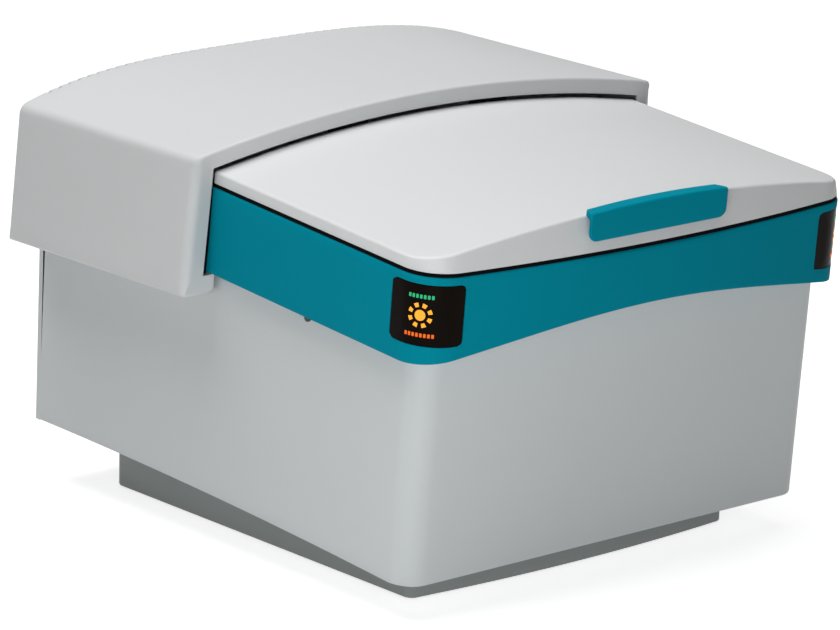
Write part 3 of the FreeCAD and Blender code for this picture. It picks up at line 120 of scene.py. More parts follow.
@dataclass(frozen=True)
class Finish:
    """One surface finish, built as shader nodes on Object coordinates.

    The base colour drifts by `drift` with a broad noise, the roughness by
    `spread` with a finer one, and a fine noise of `grain` per metre gives
    the moulded or painted texture its bump.
    """

    name: str
    colour: tuple[float, float, float]
    family: Family = Family.PLASTIC
    rough: float = 0.45
    spread: float = 0.08
    drift: float = 0.03
    grain: float = 900.0
    depth: float = 0.06
    drift_scale: float = 7.0
    bump_height: float = 0.0002
    coat: float = 0.0
    brushed: bool = False
    shine: float = 0.5
    glow: tuple[float, float, float] = (0.0, 0.0, 0.0)

    def build(self) -> bpy.types.Material:
        """Make the material once and return it.

        Returns:
            The material, which all pieces of this finish share.
        """
        title = self.name + "_finish"
        found = bpy.data.materials.get(title)
        if found is not None:
            return found
        material = bpy.data.materials.new(title)
        material.use_nodes = True
        tree = material.node_tree
        nodes, links = tree.nodes, tree.links
        shader = nodes["Principled BSDF"]
        shader.inputs["Metallic"].default_value = 1.0 if self.family is Family.METAL else 0.0
        shader.inputs["Coat Weight"].default_value = self.coat
        shader.inputs["Coat Roughness"].default_value = 0.15
        shader.inputs["Specular IOR Level"].default_value = self.shine
        where = nodes.new("ShaderNodeTexCoord")
        broad = self.noise(nodes, self.drift_scale)
        links.new(where.outputs["Object"], broad.inputs["Vector"])
        mix = nodes.new("ShaderNodeMix")
        mix.data_type = "RGBA"
        low = [c * (1 - self.drift) for c in self.colour]
        high = [min(1.0, c * (1 + self.drift)) for c in self.colour]
        mix.inputs[COLOUR_A].default_value = (*low, 1.0)
        mix.inputs[COLOUR_B].default_value = (*high, 1.0)
        links.new(broad.outputs["Fac"], mix.inputs["Factor"])
        links.new(mix.outputs[COLOUR_OUT], shader.inputs["Base Color"])
        fine = self.noise(nodes, self.grain)
        grain_place = where.outputs["Object"]
        if self.brushed:
            stretch = nodes.new("ShaderNodeMapping")
            stretch.inputs["Scale"].default_value = (0.03, 1.0, 1.0)
            links.new(grain_place, stretch.inputs["Vector"])
            grain_place = stretch.outputs["Vector"]
        links.new(grain_place, fine.inputs["Vector"])
        spread = nodes.new("ShaderNodeMapRange")
        spread.inputs["To Min"].default_value = max(0.02, self.rough - self.spread)
        spread.inputs["To Max"].default_value = min(1.0, self.rough + self.spread)
        links.new(fine.outputs["Fac"], spread.inputs["Value"])
        links.new(spread.outputs["Result"], shader.inputs["Roughness"])
        bump = nodes.new("ShaderNodeBump")
        bump.inputs["Strength"].default_value = self.depth
        bump.inputs["Distance"].default_value = self.bump_height
        links.new(fine.outputs["Fac"], bump.inputs["Height"])
        links.new(bump.outputs["Normal"], shader.inputs["Normal"])
        if self.family is Family.LIT:
            shader.inputs["Emission Color"].default_value = (*self.glow, 1.0)
            shader.inputs["Emission Strength"].default_value = 1.0
        return material

    @staticmethod
    def noise(nodes: bpy.types.Nodes, scale: float) -> bpy.types.Node:
        """Add a noise texture of that scale, with two octaves.

        Args:
            nodes: nodes of the material.
            scale: its scale, per metre.

        Returns:
            The texture node.
        """
        made = nodes.new("ShaderNodeTexNoise")
        made.inputs["Scale"].default_value = scale
        made.inputs["Detail"].default_value = 2.0
        return made


HOOD_GREY = Finish("hood_grey", (0.69, 0.705, 0.71), rough=0.5, drift=0.012, grain=1500, depth=0.10)
LID_GREY = Finish("lid_grey", (0.735, 0.75, 0.755), rough=0.45, drift=0.012, grain=1500, depth=0.10)
BODY_GREY = Finish("body_grey", (0.645, 0.68, 0.69), Family.PAINT, rough=0.42, drift=0.015, grain=1200, depth=0.12)
TEAL = Finish("collar_teal", (0.0004, 0.265, 0.36), Family.PAINT, rough=0.55, drift=0.02, grain=1300, depth=0.10,
              shine=0.02)
BASE_GREY = Finish("base_grey", (0.31, 0.34, 0.335), Family.PAINT, rough=0.5, drift=0.03, grain=1100, depth=0.2)
RUBBER = Finish("black_rubber", (0.004, 0.004, 0.005), Family.RUBBER, rough=0.9, drift=0.2, grain=700, depth=0.3,
                shine=0.04)
WINDOW = Finish("window_black", (0.005, 0.003, 0.002), rough=0.25, spread=0.04, drift=0.3, depth=0.0, shine=0.03)
BLACK = Finish("black_plastic", (0.022, 0.022, 0.024), rough=0.5, drift=0.15, grain=1200, depth=0.25)
WHITE = Finish("white_plastic", (0.78, 0.78, 0.75), rough=0.4, drift=0.02, grain=1000, depth=0.08)
STEEL = Finish("steel", (0.56, 0.57, 0.58), Family.METAL, rough=0.34, drift=0.06, grain=1500, depth=0.2,
               brushed=True)
SHIELD = Finish("shield_steel", (0.42, 0.43, 0.45), Family.PAINT, rough=0.45, drift=0.03, grain=1000, depth=0.15)
ALUMINIUM = Finish("aluminium", (0.70, 0.71, 0.73), Family.METAL, rough=0.3, drift=0.05, grain=1800, depth=0.2,
                   brushed=True)
BRASS = Finish("brass", (0.62, 0.45, 0.18), Family.METAL, rough=0.28, drift=0.08, grain=900, depth=0.1)
BOARD = Finish("board_green", (0.018, 0.12, 0.05), rough=0.35, drift=0.2, grain=500, depth=0.3, coat=0.3)
LAMP = Finish("lamp", (0.85, 0.42, 0.06), rough=0.2, drift=0.02, depth=0.0, coat=0.5)
GREEN_LIGHT = Finish("green_light", (0.01, 0.12, 0.05), Family.LIT, glow=(0.02, 0.42, 0.17), shine=0.1)
AMBER_LIGHT = Finish("amber_light", (0.3, 0.12, 0.01), Family.LIT, glow=(1.0, 0.42, 0.04), shine=0.1)
ORANGE_LIGHT = Finish("orange_light", (0.2, 0.04, 0.01), Family.LIT, glow=(0.80, 0.13, 0.01), shine=0.1)

NODES_BY_FINISH: dict[Finish, str] = {
    BASE_GREY: "plinth_base",
    RUBBER: "rubber_feet lid_seal",
    STEEL: (
        "chassis_floor hood_brackets shutter_solenoid filter_motor fan_guards network_socket "
        "usb_sockets handle_screws beam_shutter"),
    ALUMINIUM: (
        "chassis_frame hinge_beam motor_mount measuring_chamber shutter_bracket optics_bracket "
        "detector power_supply sample_tray filter_wheel"),
    BODY_GREY: "body_shell rear_panel",
    BLACK: (
        "housing_screws hinge_pins hinge_brackets tray_motor high_voltage_generator interlock_switch "
        "fan_frames mains_inlet rocker_frame hinge_leaves tray_inserts tray_knob fan_rotor_left "
        "fan_rotor_right power_rocker fuse_drawer"),
    SHIELD: "top_deck lid_liner",
    TEAL: "collar_band pull_handle",
    WINDOW: "status_window_left status_window_right",
    BOARD: "indicator_boards control_board",
    LAMP: "indicator_lamps",
    HOOD_GREY: "rear_hood",
    BRASS: "tray_bearing xray_tube board_standoffs gas_fitting drive_pinion filter_discs",
    LID_GREY: "lid_shell",
    WHITE: "tray_gear sample_cup interlock_plunger",
}


def grid_faces(rows: int, cols: int, wrap_rows: bool = False, wrap_cols: bool = False) -> np.ndarray:
    """Corner numbers of the quads of a grid whose vertices run row by row.

    Args:
        rows: number of vertex rows.
        cols: number of vertices in each row.
        wrap_rows: join the last row to the first.
        wrap_cols: join each row's last vertex to its first.

    Returns:
        Array of shape (rows, columns, 4), one quad for each cell.
    """
    i = np.arange(rows if wrap_rows else rows - 1)[:, None]
    j = np.arange(cols if wrap_cols else cols - 1)[None, :]
    i2, j2 = (i + 1) % rows, (j + 1) % cols
    corners = [i * cols + j, i * cols + j2, i2 * cols + j2, i2 * cols + j]
    return np.stack([np.broadcast_to(c, (i.size, j.size)) for c in corners], axis=-1)


def raised(path: np.ndarray, height: np.ndarray | float) -> np.ndarray:
    """Points of a plan with a third coordinate, one height for all or one for each."""
    z = np.broadcast_to(np.asarray(height, float), (len(path),))
    return np.concatenate([path, z[:, None]], axis=1)


def circle(steps: int) -> np.ndarray:
    """Points (cos a, sin a) evenly round a circle of radius 1."""
    angle = np.linspace(0, TURN, steps, endpoint=False)
    return np.stack([np.cos(angle), np.sin(angle)], axis=1)


def quarter_turn(steps: int, radius: float) -> list[tuple[float, float]]:
    """Steps of a quarter circle from 0 to 90 degrees.

    Args:
        steps: how many, both ends included.
        radius: its radius.

    Returns:
        For each angle a the pair radius (1 - cos a), radius (1 - sin a).
    """
    angles = np.linspace(0, QUARTER, steps)
    return [(radius * (1 - math.cos(angle)), radius * (1 - math.sin(angle))) for angle in angles]


def quadratic(first: np.ndarray, corner: np.ndarray, last: np.ndarray) -> tuple[np.ndarray, np.ndarray]:
    """Seven points inside a quadratic curve, and the curve's slopes there.

    p = first (1 - t)^2 + 2 corner t (1 - t) + last t^2.

    Args:
        first: where the curve begins.
        corner: where its end tangents meet.
        last: where it ends.

    Returns:
        Two arrays of shape (7, 2).
    """
    share = np.linspace(0, 1, 9)[1:-1, None]
    bend = first * (1 - share) ** 2 + 2 * corner * share * (1 - share) + last * share ** 2
    slope = 2 * (corner - first) * (1 - share) + 2 * (last - corner) * share
    return bend, slope


@dataclass
class Surface:
    """Points and faces gathered from one or more grids, in millimetres."""

    points: list[np.ndarray] = field(default_factory=list)
    faces: list[np.ndarray] = field(default_factory=list)
    caps: list[np.ndarray] = field(default_factory=list)
    count: int = 0

    def add_grid(self, points: np.ndarray, wrap_rows: bool = False, wrap_cols: bool = False,
                 skip: np.ndarray | None = None) -> int:
        """Add a grid of points.

        Args:
            points: array of shape (rows, columns, 3).
            wrap_rows: join the last row to the first.
            wrap_cols: join each row's ends.
            skip: cells to leave out, as a mask of shape (rows, columns) of cells.

        Returns:
            The number that the first added point got.
        """
        start = self.count
        quads = grid_faces(points.shape[0], points.shape[1], wrap_rows, wrap_cols)
        self.points.append(np.asarray(points, float).reshape(-1, 3))
        self.faces.append((quads.reshape(-1, 4) if skip is None else quads[~skip]) + start)
        self.count += len(self.points[-1])
        return start

    def add_tube(self, points: np.ndarray, loops_in_rows: bool, skip: np.ndarray | None = None) -> None:
        """Add a grid that closes on itself one way, with a flat face at both its ends.

        Args:
            points: array of shape (rows, columns, 3).
            loops_in_rows: true where each row is a loop, false where each column is.
            skip: cells to leave out.
        """
        rows, cols = points.shape[:2]
        start = self.add_grid(points, wrap_rows=not loops_in_rows, wrap_cols=loops_in_rows, skip=skip)
        first = start + (np.arange(cols) if loops_in_rows else np.arange(rows) * cols)
        self.caps += [first, first[::-1] + ((rows - 1) * cols if loops_in_rows else cols - 1)]


def make_piece(name: str, surface: Surface, where: Frame3, finish: Finish, body: str,
               stands_for: tuple[str, ...] = (), sharp: float = 32.0,
               wall: float = 0.0, bevel: float = 0.0) -> bpy.types.Object:
    """Write a surface into a mesh object, dress it and let it ride.

    Args:
        name: the piece's name.
        surface: its points and faces.
        where: frame that the points are drawn in.
        finish: its material.
        body: CAD body that it rides on.
        stands_for: CAD nodes that it replaces.
        sharp: angle in degrees above which an edge stays sharp.
        wall: thickness of a Solidify modifier, inwards, or 0.
        bevel: width of a Bevel modifier, or 0.

    Returns:
        The finished object.
    """
    points = where.place(np.concatenate(surface.points)) * MM
    quads = np.concatenate(surface.faces)
    mesh = bpy.data.meshes.new(name)
    faces = quads.tolist() + [list(map(int, cap)) for cap in surface.caps]
    mesh.from_pydata(points.tolist(), [], faces)
    work = bmesh.new()
    work.from_mesh(mesh)
    bmesh.ops.remove_doubles(work, verts=work.verts, dist=WELD)
    bmesh.ops.dissolve_degenerate(work, dist=SLIVER, edges=work.edges)
    bmesh.ops.recalc_face_normals(work, faces=work.faces)
    work.to_mesh(mesh)
    work.free()
    centres, normals = np.empty((2, len(mesh.polygons), 3))
    areas = np.empty(len(mesh.polygons))
    mesh.polygons.foreach_get("center", centres.ravel())
    mesh.polygons.foreach_get("normal", normals.ravel())
    mesh.polygons.foreach_get("area", areas)
    outward = ((centres - centres.mean(axis=0)) * normals).sum(axis=1)
    if float((outward * areas).sum()) < 0:
        mesh.flip_normals()
    mesh.polygons.foreach_set("use_smooth", np.ones(len(mesh.polygons), bool))
    mesh.set_sharp_from_angle(angle=math.radians(sharp))
    piece = bpy.data.objects.new(name, mesh)
    bpy.context.scene.collection.objects.link(piece)
    mesh.materials.append(finish.build())
    if wall > 0:
        solid = piece.modifiers.new("wall", "SOLIDIFY")
        solid.thickness = wall * MM
        solid.offset = -1.0
        solid.use_even_offset = False
    if bevel > 0:
        soft = piece.modifiers.new("edge", "BEVEL")
        soft.width = bevel * MM
        soft.segments = 2
        soft.limit_method = "ANGLE"
        soft.angle_limit = SOFT_EDGE
    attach(piece, body)
    if stands_for:
        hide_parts(*stands_for)
    LOG.info("%s: %d faces on %s", name, len(mesh.polygons), body)
    return piece


@dataclass(frozen=True)
class BowedPlan:
    """Outline seen from above, with straight sides, a bowed front and round corners.

    The front is an arc of a circle through both front corners and a point
    `bow` further forward. Each front corner is an arc that touches the side
    and the front. An inset moves every point in along its own normal.
    """

    half: float
    front: float
    bow: float
    corner: float
    rear: float
    rear_corner: float = 3.0
    side_steps: int = 14
    corner_steps: int = 14
    front_steps: int = 48
    rear_corner_steps: int = 5
    spine_margin: float = 14.0
    spine_corner: float = 12.0

    def radius(self) -> float:
        """Radius of the front's arc: (half squared + bow squared) / (2 bow)."""
        return (self.half ** 2 + self.bow ** 2) / (2 * self.bow)

    def corner_centre(self) -> tuple[float, float, float]:
        """Centre of the right corner's arc and the y of the front arc's centre.

        Returns:
            The corner centre's x and y, and the front arc's y.
        """
        big = self.radius()
        arc_y = self.front - self.bow + big
        x = self.half - self.corner
        return x, arc_y - math.sqrt((big - self.corner) ** 2 - x ** 2), arc_y

    def open_path(self, inset: float = 0.0) -> np.ndarray:
        """Path from the rear left round the front to the rear right.

        Args:
            inset: distance inwards from the outline.

        Returns:
            Array of shape (columns, 2).
        """
        cx, cy, arc_y = self.corner_centre()
        big = self.radius()
        turn = math.atan2(cy - arc_y, -cx) % TURN
        small = max(self.corner - inset, 0.05)
        share = np.linspace(0, 1, self.side_steps, endpoint=False)
        left = np.stack([np.full_like(share, -self.half + inset), self.rear + (cy - self.rear) * share], axis=1)
        angle = np.linspace(math.pi, turn, self.corner_steps, endpoint=False)
        bend = np.stack([-cx + small * np.cos(angle), cy + small * np.sin(angle)], axis=1)
        angle = np.linspace(turn, 3 * math.pi - turn, self.front_steps + 1)
        arc = np.stack([(big - inset) * np.cos(angle), arc_y + (big - inset) * np.sin(angle)], axis=1)
        mirrored = np.concatenate([left, bend])[::-1] * [-1, 1]
        return np.concatenate([left, bend, arc, mirrored])

    def closed_path(self, inset: float = 0.0) -> np.ndarray:
        """The same path closed by a rear side with small round corners.

        Args:
            inset: distance inwards from the outline.

        Returns:
            Array of shape (columns, 2), whose last point joins the first.
        """
        path = self.open_path(inset)
        round_off = self.rear_corner
        small = max(round_off - inset, 0.02)
        side = self.side_steps
        cy = self.corner_centre()[1]
        share = np.linspace(0, 1, side, endpoint=False)
        path[:side, 1] = self.rear - round_off + (cy - self.rear + round_off) * share
        path[-side:, 1] = path[:side, 1][::-1]
        angle = np.linspace(0, QUARTER, self.rear_corner_steps + 1)[1:]
        x = self.half - round_off + small * np.cos(angle)
        y = self.rear - round_off + small * np.sin(angle)
        if round_off < inset:
            x, y = np.full_like(x, self.half - inset), np.full_like(y, self.rear - inset)
            path[:side, 1] = np.minimum(path[:side, 1], self.rear - inset)
            path[-side:, 1] = np.minimum(path[-side:, 1], self.rear - inset)
        right = np.stack([x, y], axis=1)
        before = side + self.corner_steps
        rear_x = self.spine_x()[before:before + self.front_steps + 1][::-1][1:-1]
        rear = np.stack([rear_x, np.full_like(rear_x, self.rear - inset)], axis=1)
        left = right[::-1] * [-1, 1]
        return np.concatenate([path, right, rear, left])

    def spine_x(self) -> np.ndarray:
        """Where each column of the closed path meets the line through the middle.

        Returns:
            One x for each column.
        """
        end = self.half - max(self.corner, self.spine_corner) - self.spine_margin
        across = np.linspace(-end, end, self.front_steps + 1)
        left = np.full(self.side_steps + self.corner_steps, -end)
        rear_left = np.full(self.rear_corner_steps, -end)
        return np.concatenate([left, across, -left, -rear_left, across[::-1][1:-1], rear_left])


def fill_to_spine(plan: BowedPlan, ring: np.ndarray, steps: int) -> np.ndarray:
    """Rows of plan points that draw a ring in to the middle line.

    Each point slides straight to its own place on the line, so the rows
    close there: p = ring (1 - t) + spine t.

    Args:
        plan: the outline that the ring belongs to.
        ring: array of shape (columns, 2).
        steps: number of rows after the ring.

    Returns:
        Array of shape (steps, columns, 2).
    """
    middle = (ring[:, 1].min() + ring[:, 1].max()) / 2
    spine = np.stack([plan.spine_x(), np.full(len(ring), middle)], axis=1)
    share = np.linspace(0, 1, steps + 1)[1:, None, None]
    return ring[None] * (1 - share) + spine[None] * share


@dataclass
class LidAssembly:
    """The lifting lid: its moulded shell and the clip handle on its front edge."""

    plan: BowedPlan = field(default_factory=lambda: BowedPlan(270.0, -304.6, 19.0, 40.0, 12.0))
    seam: float = 372.7
    rim: float = 11.3
    crown: float = 25.3
    wall: float = 3.0
    edge: float = 2.4
    front_lean: float = 16.0
    lean_end: float = -20.0
    lean_fade: float = 180.0
    skirt: float = 0.7
    skirt_round: float = 0.9
    inner_rise: float = 1.6
    inner_edge: float = 1.0
    handle_width: float = 173.5
    handle_x: float = -7.5
    handle_thick: float = 3.5
    handle_strip: float = 6.2
    handle_gap: float = -0.4
    handle_height: float = 28.4
    handle_reach: float = 11.4
    handle_corner: float = 9.0
    handle_taper: float = 5.5
    handle_soft: float = 1.2
    handle_bend: float = 2.6
    handle_pinch: float = 0.9
    handle_seat: float = 0.1
    foot_place: float = 0.8
    foot_half: tuple[float, float] = (5.6, 6.4)
    foot_steps: int = 24

    def top(self, x: np.ndarray) -> np.ndarray:
        """Height of the arched top: seam + rim + crown (1 - (x / half) squared)."""
        return self.seam + self.rim + self.crown * (1 - (np.asarray(x) / self.plan.half) ** 2)

    def nose(self) -> float:
        """Foremost y of the lid's outline."""
        return self.plan.front - self.plan.bow

    def handle_low(self) -> float:
        """Height of the handle's lower edge."""
        return float(self.top(self.handle_width / 2)) + self.handle_strip - self.handle_height

    def leaned_back(self, rows: list[np.ndarray]) -> list[np.ndarray]:
        """Lean the lid's front: y grows by tan(lean) (z - seam), fading out towards the rear.

        Args:
            rows: arrays of points, x, y and z.

        Returns:
            The same rows, leaned.
        """
        moved = []
        for row in rows:
            share = np.clip((self.lean_end - row[:, 1]) / self.lean_fade, 0, 1)
            shift = tangent(self.front_lean) * np.maximum(row[:, 2] - self.seam, 0) * share
            moved.append(row + np.stack([0 * shift, shift, 0 * shift], axis=1))
        return moved

    def skin(self, inset: float, drop: float, edge: float, inward: bool) -> list[np.ndarray]:
        """Rows of one skin, from its lower edge to the middle line.

        The wall rises straight, a quarter circle of radius `edge` turns it
        into the arch, and the rest lies on the arch.

        Args:
            inset: distance of the skin's wall inside the outline.
            drop: distance of the skin's top under the arch.
            edge: radius of the turn.
            inward: true for the inner skin, which starts higher up.

        Returns:
            List of arrays of shape (columns, 3).
        """
        base = self.plan.closed_path(inset)
        low = self.seam - self.skirt + self.skirt_round + (self.inner_rise if inward else 0.0)
        high = self.top(base[:, 0]) - drop - edge
        rows = [raised(base, low + (high - low) * share) for share in (0.0, 0.35, 0.7, 1.0)]
        for back, under in quarter_turn(7, edge)[1:]:
            path = self.plan.closed_path(inset + back)
            rows.append(raised(path, self.top(path[:, 0]) - drop - under))
        paths = [self.plan.closed_path(inset + edge + more) for more in (3.0, 8.0, 15.0, 24.0)]
        paths.extend(fill_to_spine(self.plan, paths[-1], 9))
        rows.extend(raised(path, self.top(path[:, 0]) - drop) for path in paths)
        return self.leaned_back(rows)

    def shell(self) -> Surface:
        """Closed shell: outer skin, rounded lower rim and inner skin in one grid.

        Returns:
            A closed surface.
        """
        outer = self.skin(0.0, 0.0, self.edge, False)
        inner = self.skin(self.wall, self.wall, self.inner_edge, True)
        steps = ((0.25, 0.25), (self.skirt_round, 0.0), (self.wall - 0.6, 0.0), (self.wall, 0.6))
        rim = [raised(self.plan.closed_path(inset), self.seam - self.skirt + lift) for inset, lift in steps]
        surface = Surface()
        surface.add_grid(np.stack(outer[::-1] + rim + inner), wrap_cols=True)
        return surface

    def handle(self) -> Surface:
        """Clip handle: a bent strip carried across the lid's front edge.

        The section runs along the lid's top, bends over the nose and hangs
        as a plate; each station across shifts it with the arch, and the
        plate's lower edge rises as a quarter circle near both ends. There
        all its faces also draw in by a small quarter circle, the pinch.

        Returns:
            A closed strip.
        """
        plate = self.nose() - self.handle_gap - self.handle_thick
        back = self.nose() + self.handle_reach
        half, round_off = self.handle_width / 2, self.handle_corner
        thick, strip, soft, seat = self.handle_thick, self.handle_strip, self.handle_soft, self.handle_seat
        ends = np.array([0.0, 0.25, 0.9, 2.0, 3.5, 5.2, 7.0, 9.0])
        across = np.concatenate([-half + ends, np.linspace(-half + 14, half - 14, 22), half - ends[::-1]])
        away = half - np.abs(across)
        climb, pinch = (radius - np.sqrt(np.maximum(0, radius ** 2 - np.maximum(0, radius - away) ** 2))
                        for radius in (round_off, self.handle_pinch))
        x = across + self.handle_x
        top = self.top(x)
        low = self.handle_low() + climb
        outline: list[tuple[np.ndarray, np.ndarray]] = []

        def at(y: float | np.ndarray, z: np.ndarray) -> None:
            """Add one row of stations to the section."""
            outline.append((np.broadcast_to(np.asarray(y, float), x.shape), z))

        at(back, top + seat)
        at(back, top + strip - soft - pinch)
        for along, rise in quarter_turn(4, soft)[1:]:
            at(back - along, top + strip - rise - pinch)
        at((back + plate) / 2, top + strip - pinch)
        for fall, along in quarter_turn(6, self.handle_bend):
            at(plate + along + pinch, top + strip - fall - pinch)
        for share in (0.35, 0.7):
            at(plate + pinch, (top + strip - self.handle_bend) * (1 - share) + (low + soft) * share)
        for along, rise in quarter_turn(4, soft):
            at(plate + along + pinch, low + rise + pinch)
        for rise, along in quarter_turn(4, soft):
            at(plate + thick - along - pinch, low + rise + pinch)
        at(plate + thick - pinch, top - 2.2)
        for angle in np.linspace(0, QUARTER, 4):
            at(plate + thick + 2.0 * (1 - math.cos(angle)) - pinch * math.cos(angle),
               top - 2.0 + 2.0 * math.sin(angle) + seat)
        at(back - 4, top + seat)
        depth = np.stack([y for y, _ in outline])
        taper = self.handle_taper * np.clip((depth - plate - thick) / (back - plate - thick), 0, 1)
        height = np.stack([z for _, z in outline])
        surface = Surface()
        surface.add_tube(np.stack([x - across * taper / half, depth, height], axis=-1), False)
        return surface

    def handle_feet(self) -> Surface:
        """Two round-cornered feet that carry the handle's plate off the lid.

        Returns:
            Two closed blocks.
        """
        surface = Surface()
        middle = self.handle_low() + self.handle_height / 2
        flat = circle(self.foot_steps)
        square = flat / np.abs(flat).max(axis=1, keepdims=True) ** 0.75
        for side in (-1, 1):
            x = self.handle_x + side * self.handle_width / 2 * self.foot_place
            ring = square * self.foot_half + [x, middle]
            face = self.plan.front - self.plan.bow * (1 - (x / self.plan.half) ** 2)
            back = face + tangent(self.front_lean) * (middle - self.seam)
            ends = (self.nose() - self.handle_gap - 0.3, back + 1.8)
            surface.add_tube(np.stack([raised(ring, y)[:, [0, 2, 1]] for y in ends]), True)
        return surface

    def build(self) -> None:
        """Make the lid's shell, its handle and the handle's feet."""
        make_piece("lid_moulding", self.shell(), HOUSING, LID_GREY, "lid", ("lid_shell",))
        make_piece("handle_clip", self.handle(), HOUSING, TEAL, "lid", ("pull_handle",))
        make_piece("handle_feet", self.handle_feet(), HOUSING, TEAL, "lid")


class Mark(Enum):
    """The lit marks of a status window, from above."""

    UPPER_ROW = "green"
    LAMP = "amber"
    LOWER_ROW = "orange"


@dataclass
class CollarAssembly:
    """Coloured collar with the two wrapped status windows and their lamps."""

    plan: BowedPlan = field(default_factory=lambda: BowedPlan(
        271.0, -305.6, 19.0, 40.0, 20.0, corner_steps=26, side_steps=22, front_steps=64))
    inner: BowedPlan = field(default_factory=lambda: BowedPlan(
        258.4, -290.4, 6.3, 27.0, 20.0, corner_steps=26, side_steps=22, front_steps=64))
    low: float = 283.3
    arch: float = 29.0
    arch_half: float = 270.0
    top: float = 368.7
    wall: float = 3.0
    chamfer: float = 2.2
    window_side_y: float = -257.0
    window_front_x: float = 229.0
    window_low: float = 302.0
    window_high: float = 361.0
    window_round: float = 5.0
    window_shift: float = 7.0
    window_play: float = 0.25
    fine_front: int = 800
    hole_depth: float = 2.8
    hole_steps: int = 160
    pane_steps: int = 64
    pane_face: float = 0.1
    pane_back: float = 2.4
    mark_floor: float = 0.3
    mark_height: float = 0.12
    mark_lead: float = 4.0
    lamp_radius: float = 5.2
    lamp_height: float = 0.14
    ring_inner: float = 8.0
    ring_outer: float = 12.0
    ring_half_angle: float = 0.20
    ring_parts: int = 8

    def low_edge(self, x: np.ndarray) -> np.ndarray:
        """Height of the lower edge: mostly a parabola, eased towards the corners by a cosine.

        Args:
            x: places across the collar.

        Returns:
            One height for each place.
        """
        share = np.clip(np.abs(x) / self.arch_half, 0, 1.02)
        arch = 0.72 * (1 - share ** 2) + 0.28 * (1 + np.cos(math.pi * np.minimum(share, 1))) / 2
        return self.low + self.arch * arch

    def rows(self) -> tuple[np.ndarray, int, int]:
        """Closed section of the collar at every column of the path.

        Returns:
            The grid of points, and the numbers of the rows between which
            the outer face lies.
        """
        outer = self.plan.open_path()
        body = self.inner.open_path()
        low = self.low_edge(outer[:, 0])
        body_low = np.minimum(low, self.low_edge(body[:, 0]))
        grid = [raised(body, body_low + self.wall), raised(body, body_low)]

        def row(inset: float, z: np.ndarray | float) -> None:
            """Add one row on the collar's own outline."""
            grid.append(raised(self.plan.open_path(inset), z))

        row(2.4, low)
        for angle in (20.0, 45.0, 70.0):
            turn = math.radians(angle)
            row(1 - math.sin(turn), low + 1 - math.cos(turn))
        face_low = len(grid)
        high = self.top - self.chamfer
        for share in np.linspace(0, 1, 13):
            row(0.0, (low + 1.0) * (1 - share) + high * share)
        face_high = len(grid) - 1
        row(0.25, high + 0.55)
        row(self.chamfer - 0.5, self.top - 0.3)
        row(self.chamfer, self.top)
        row(self.wall, self.top)
        for share in (0.0, 0.5, 1.0):
            row(self.wall, (self.top - 1) * (1 - share) + (low + self.wall) * share)
        return np.stack(grid), face_low, face_high

    @staticmethod
    def length_along(path: np.ndarray) -> np.ndarray:
        """Distance along a path up to each of its points."""
        steps = np.hypot(*np.diff(path, axis=0).T)
        return np.concatenate([[0.0], np.cumsum(steps)])

    def window_span(self) -> tuple[float, float]:
        """Where the right window begins and ends along the outline's path.

        Returns:
            Both distances from the outline's left end.
        """
        half, quarter = len(self.fine_path) // 2, self.fine_front // 2
        front = np.interp(self.window_front_x, self.fine_path[half:half + quarter, 0],
                          self.fine_marks[half:half + quarter])
        side = self.fine_marks[-1] - (self.plan.rear - self.window_side_y)
        return float(front), float(side)

    def window_centre(self, side: int) -> float:
        """Place of a window's middle along the outline; the right one sits nearer to the front."""
        middle = sum(self.window_span()) / 2
        return middle - self.window_shift if side > 0 else self.fine_marks[-1] - middle

    def window_middle(self) -> float:
        """Height of the windows' middle."""
        return (self.window_low + self.window_high) / 2

    @cached_property
    def fine_path(self) -> np.ndarray:
        """The outline sampled finely."""
        return replace(self.plan, side_steps=200, corner_steps=200, front_steps=self.fine_front).open_path()

    @cached_property
    def fine_marks(self) -> np.ndarray:
        """Distance along the fine outline up to each of its points."""
        return self.length_along(self.fine_path)

    def wrap(self, along: np.ndarray, height: np.ndarray, inset: float) -> np.ndarray:
        """Put points given along the outline and by height onto the collar.

        Args:
            along: distance along the outline.
            height: height in the housing's frame.
            inset: distance in from the collar's face.

        Returns:
            Array of the same shape with x, y, z on a new last axis.
        """
        path, marks = self.fine_path, self.fine_marks
        tangent_xy = np.gradient(path, marks, axis=0)
        normal = np.stack([tangent_xy[:, 1], -tangent_xy[:, 0]], axis=1)
        normal /= np.linalg.norm(normal, axis=1, keepdims=True)
        x = np.interp(along, marks, path[:, 0]) - inset * np.interp(along, marks, normal[:, 0])
        y = np.interp(along, marks, path[:, 1]) - inset * np.interp(along, marks, normal[:, 1])
        return np.stack([x, y, np.broadcast_to(height, x.shape)], axis=-1)

    @staticmethod
    def round_box(half_width: float, half_height: float, corner: float, count: int) -> np.ndarray:
        """Closed loop of a rectangle with round corners, evenly turned about its centre.

        Args:
            half_width: half its width.
            half_height: half its height.
            corner: radius of its corners.
            count: points in the loop, a multiple of four.

        Returns:
            Array of shape (count, 2), counter-clockwise from the right side's middle.
        """
        line_x, line_y = half_width - corner, half_height - corner
        share = (np.arange(count // 4) + 0.5) / (count // 4)
        spread = 0.5 * (1 - np.cos(np.clip((share - 0.2) / 0.6, 0, 1) * math.pi))
        before = np.clip(1 - share / 0.2, 0, 1)
        after = np.clip((share - 0.8) / 0.2, 0, 1)
        pieces = []
        for turn, (sx, sy) in enumerate(((1, 1), (-1, 1), (-1, -1), (1, -1))):
            bend = (turn + spread) * QUARTER
            fall_x, fall_y = (before, after) if turn % 2 else (after, before)
            x = sx * line_x + corner * np.cos(bend) - sx * line_x * fall_x
            y = sy * line_y + corner * np.sin(bend) - sy * line_y * fall_y
            pieces.append(np.stack([x, y], axis=1))
        return np.concatenate(pieces)

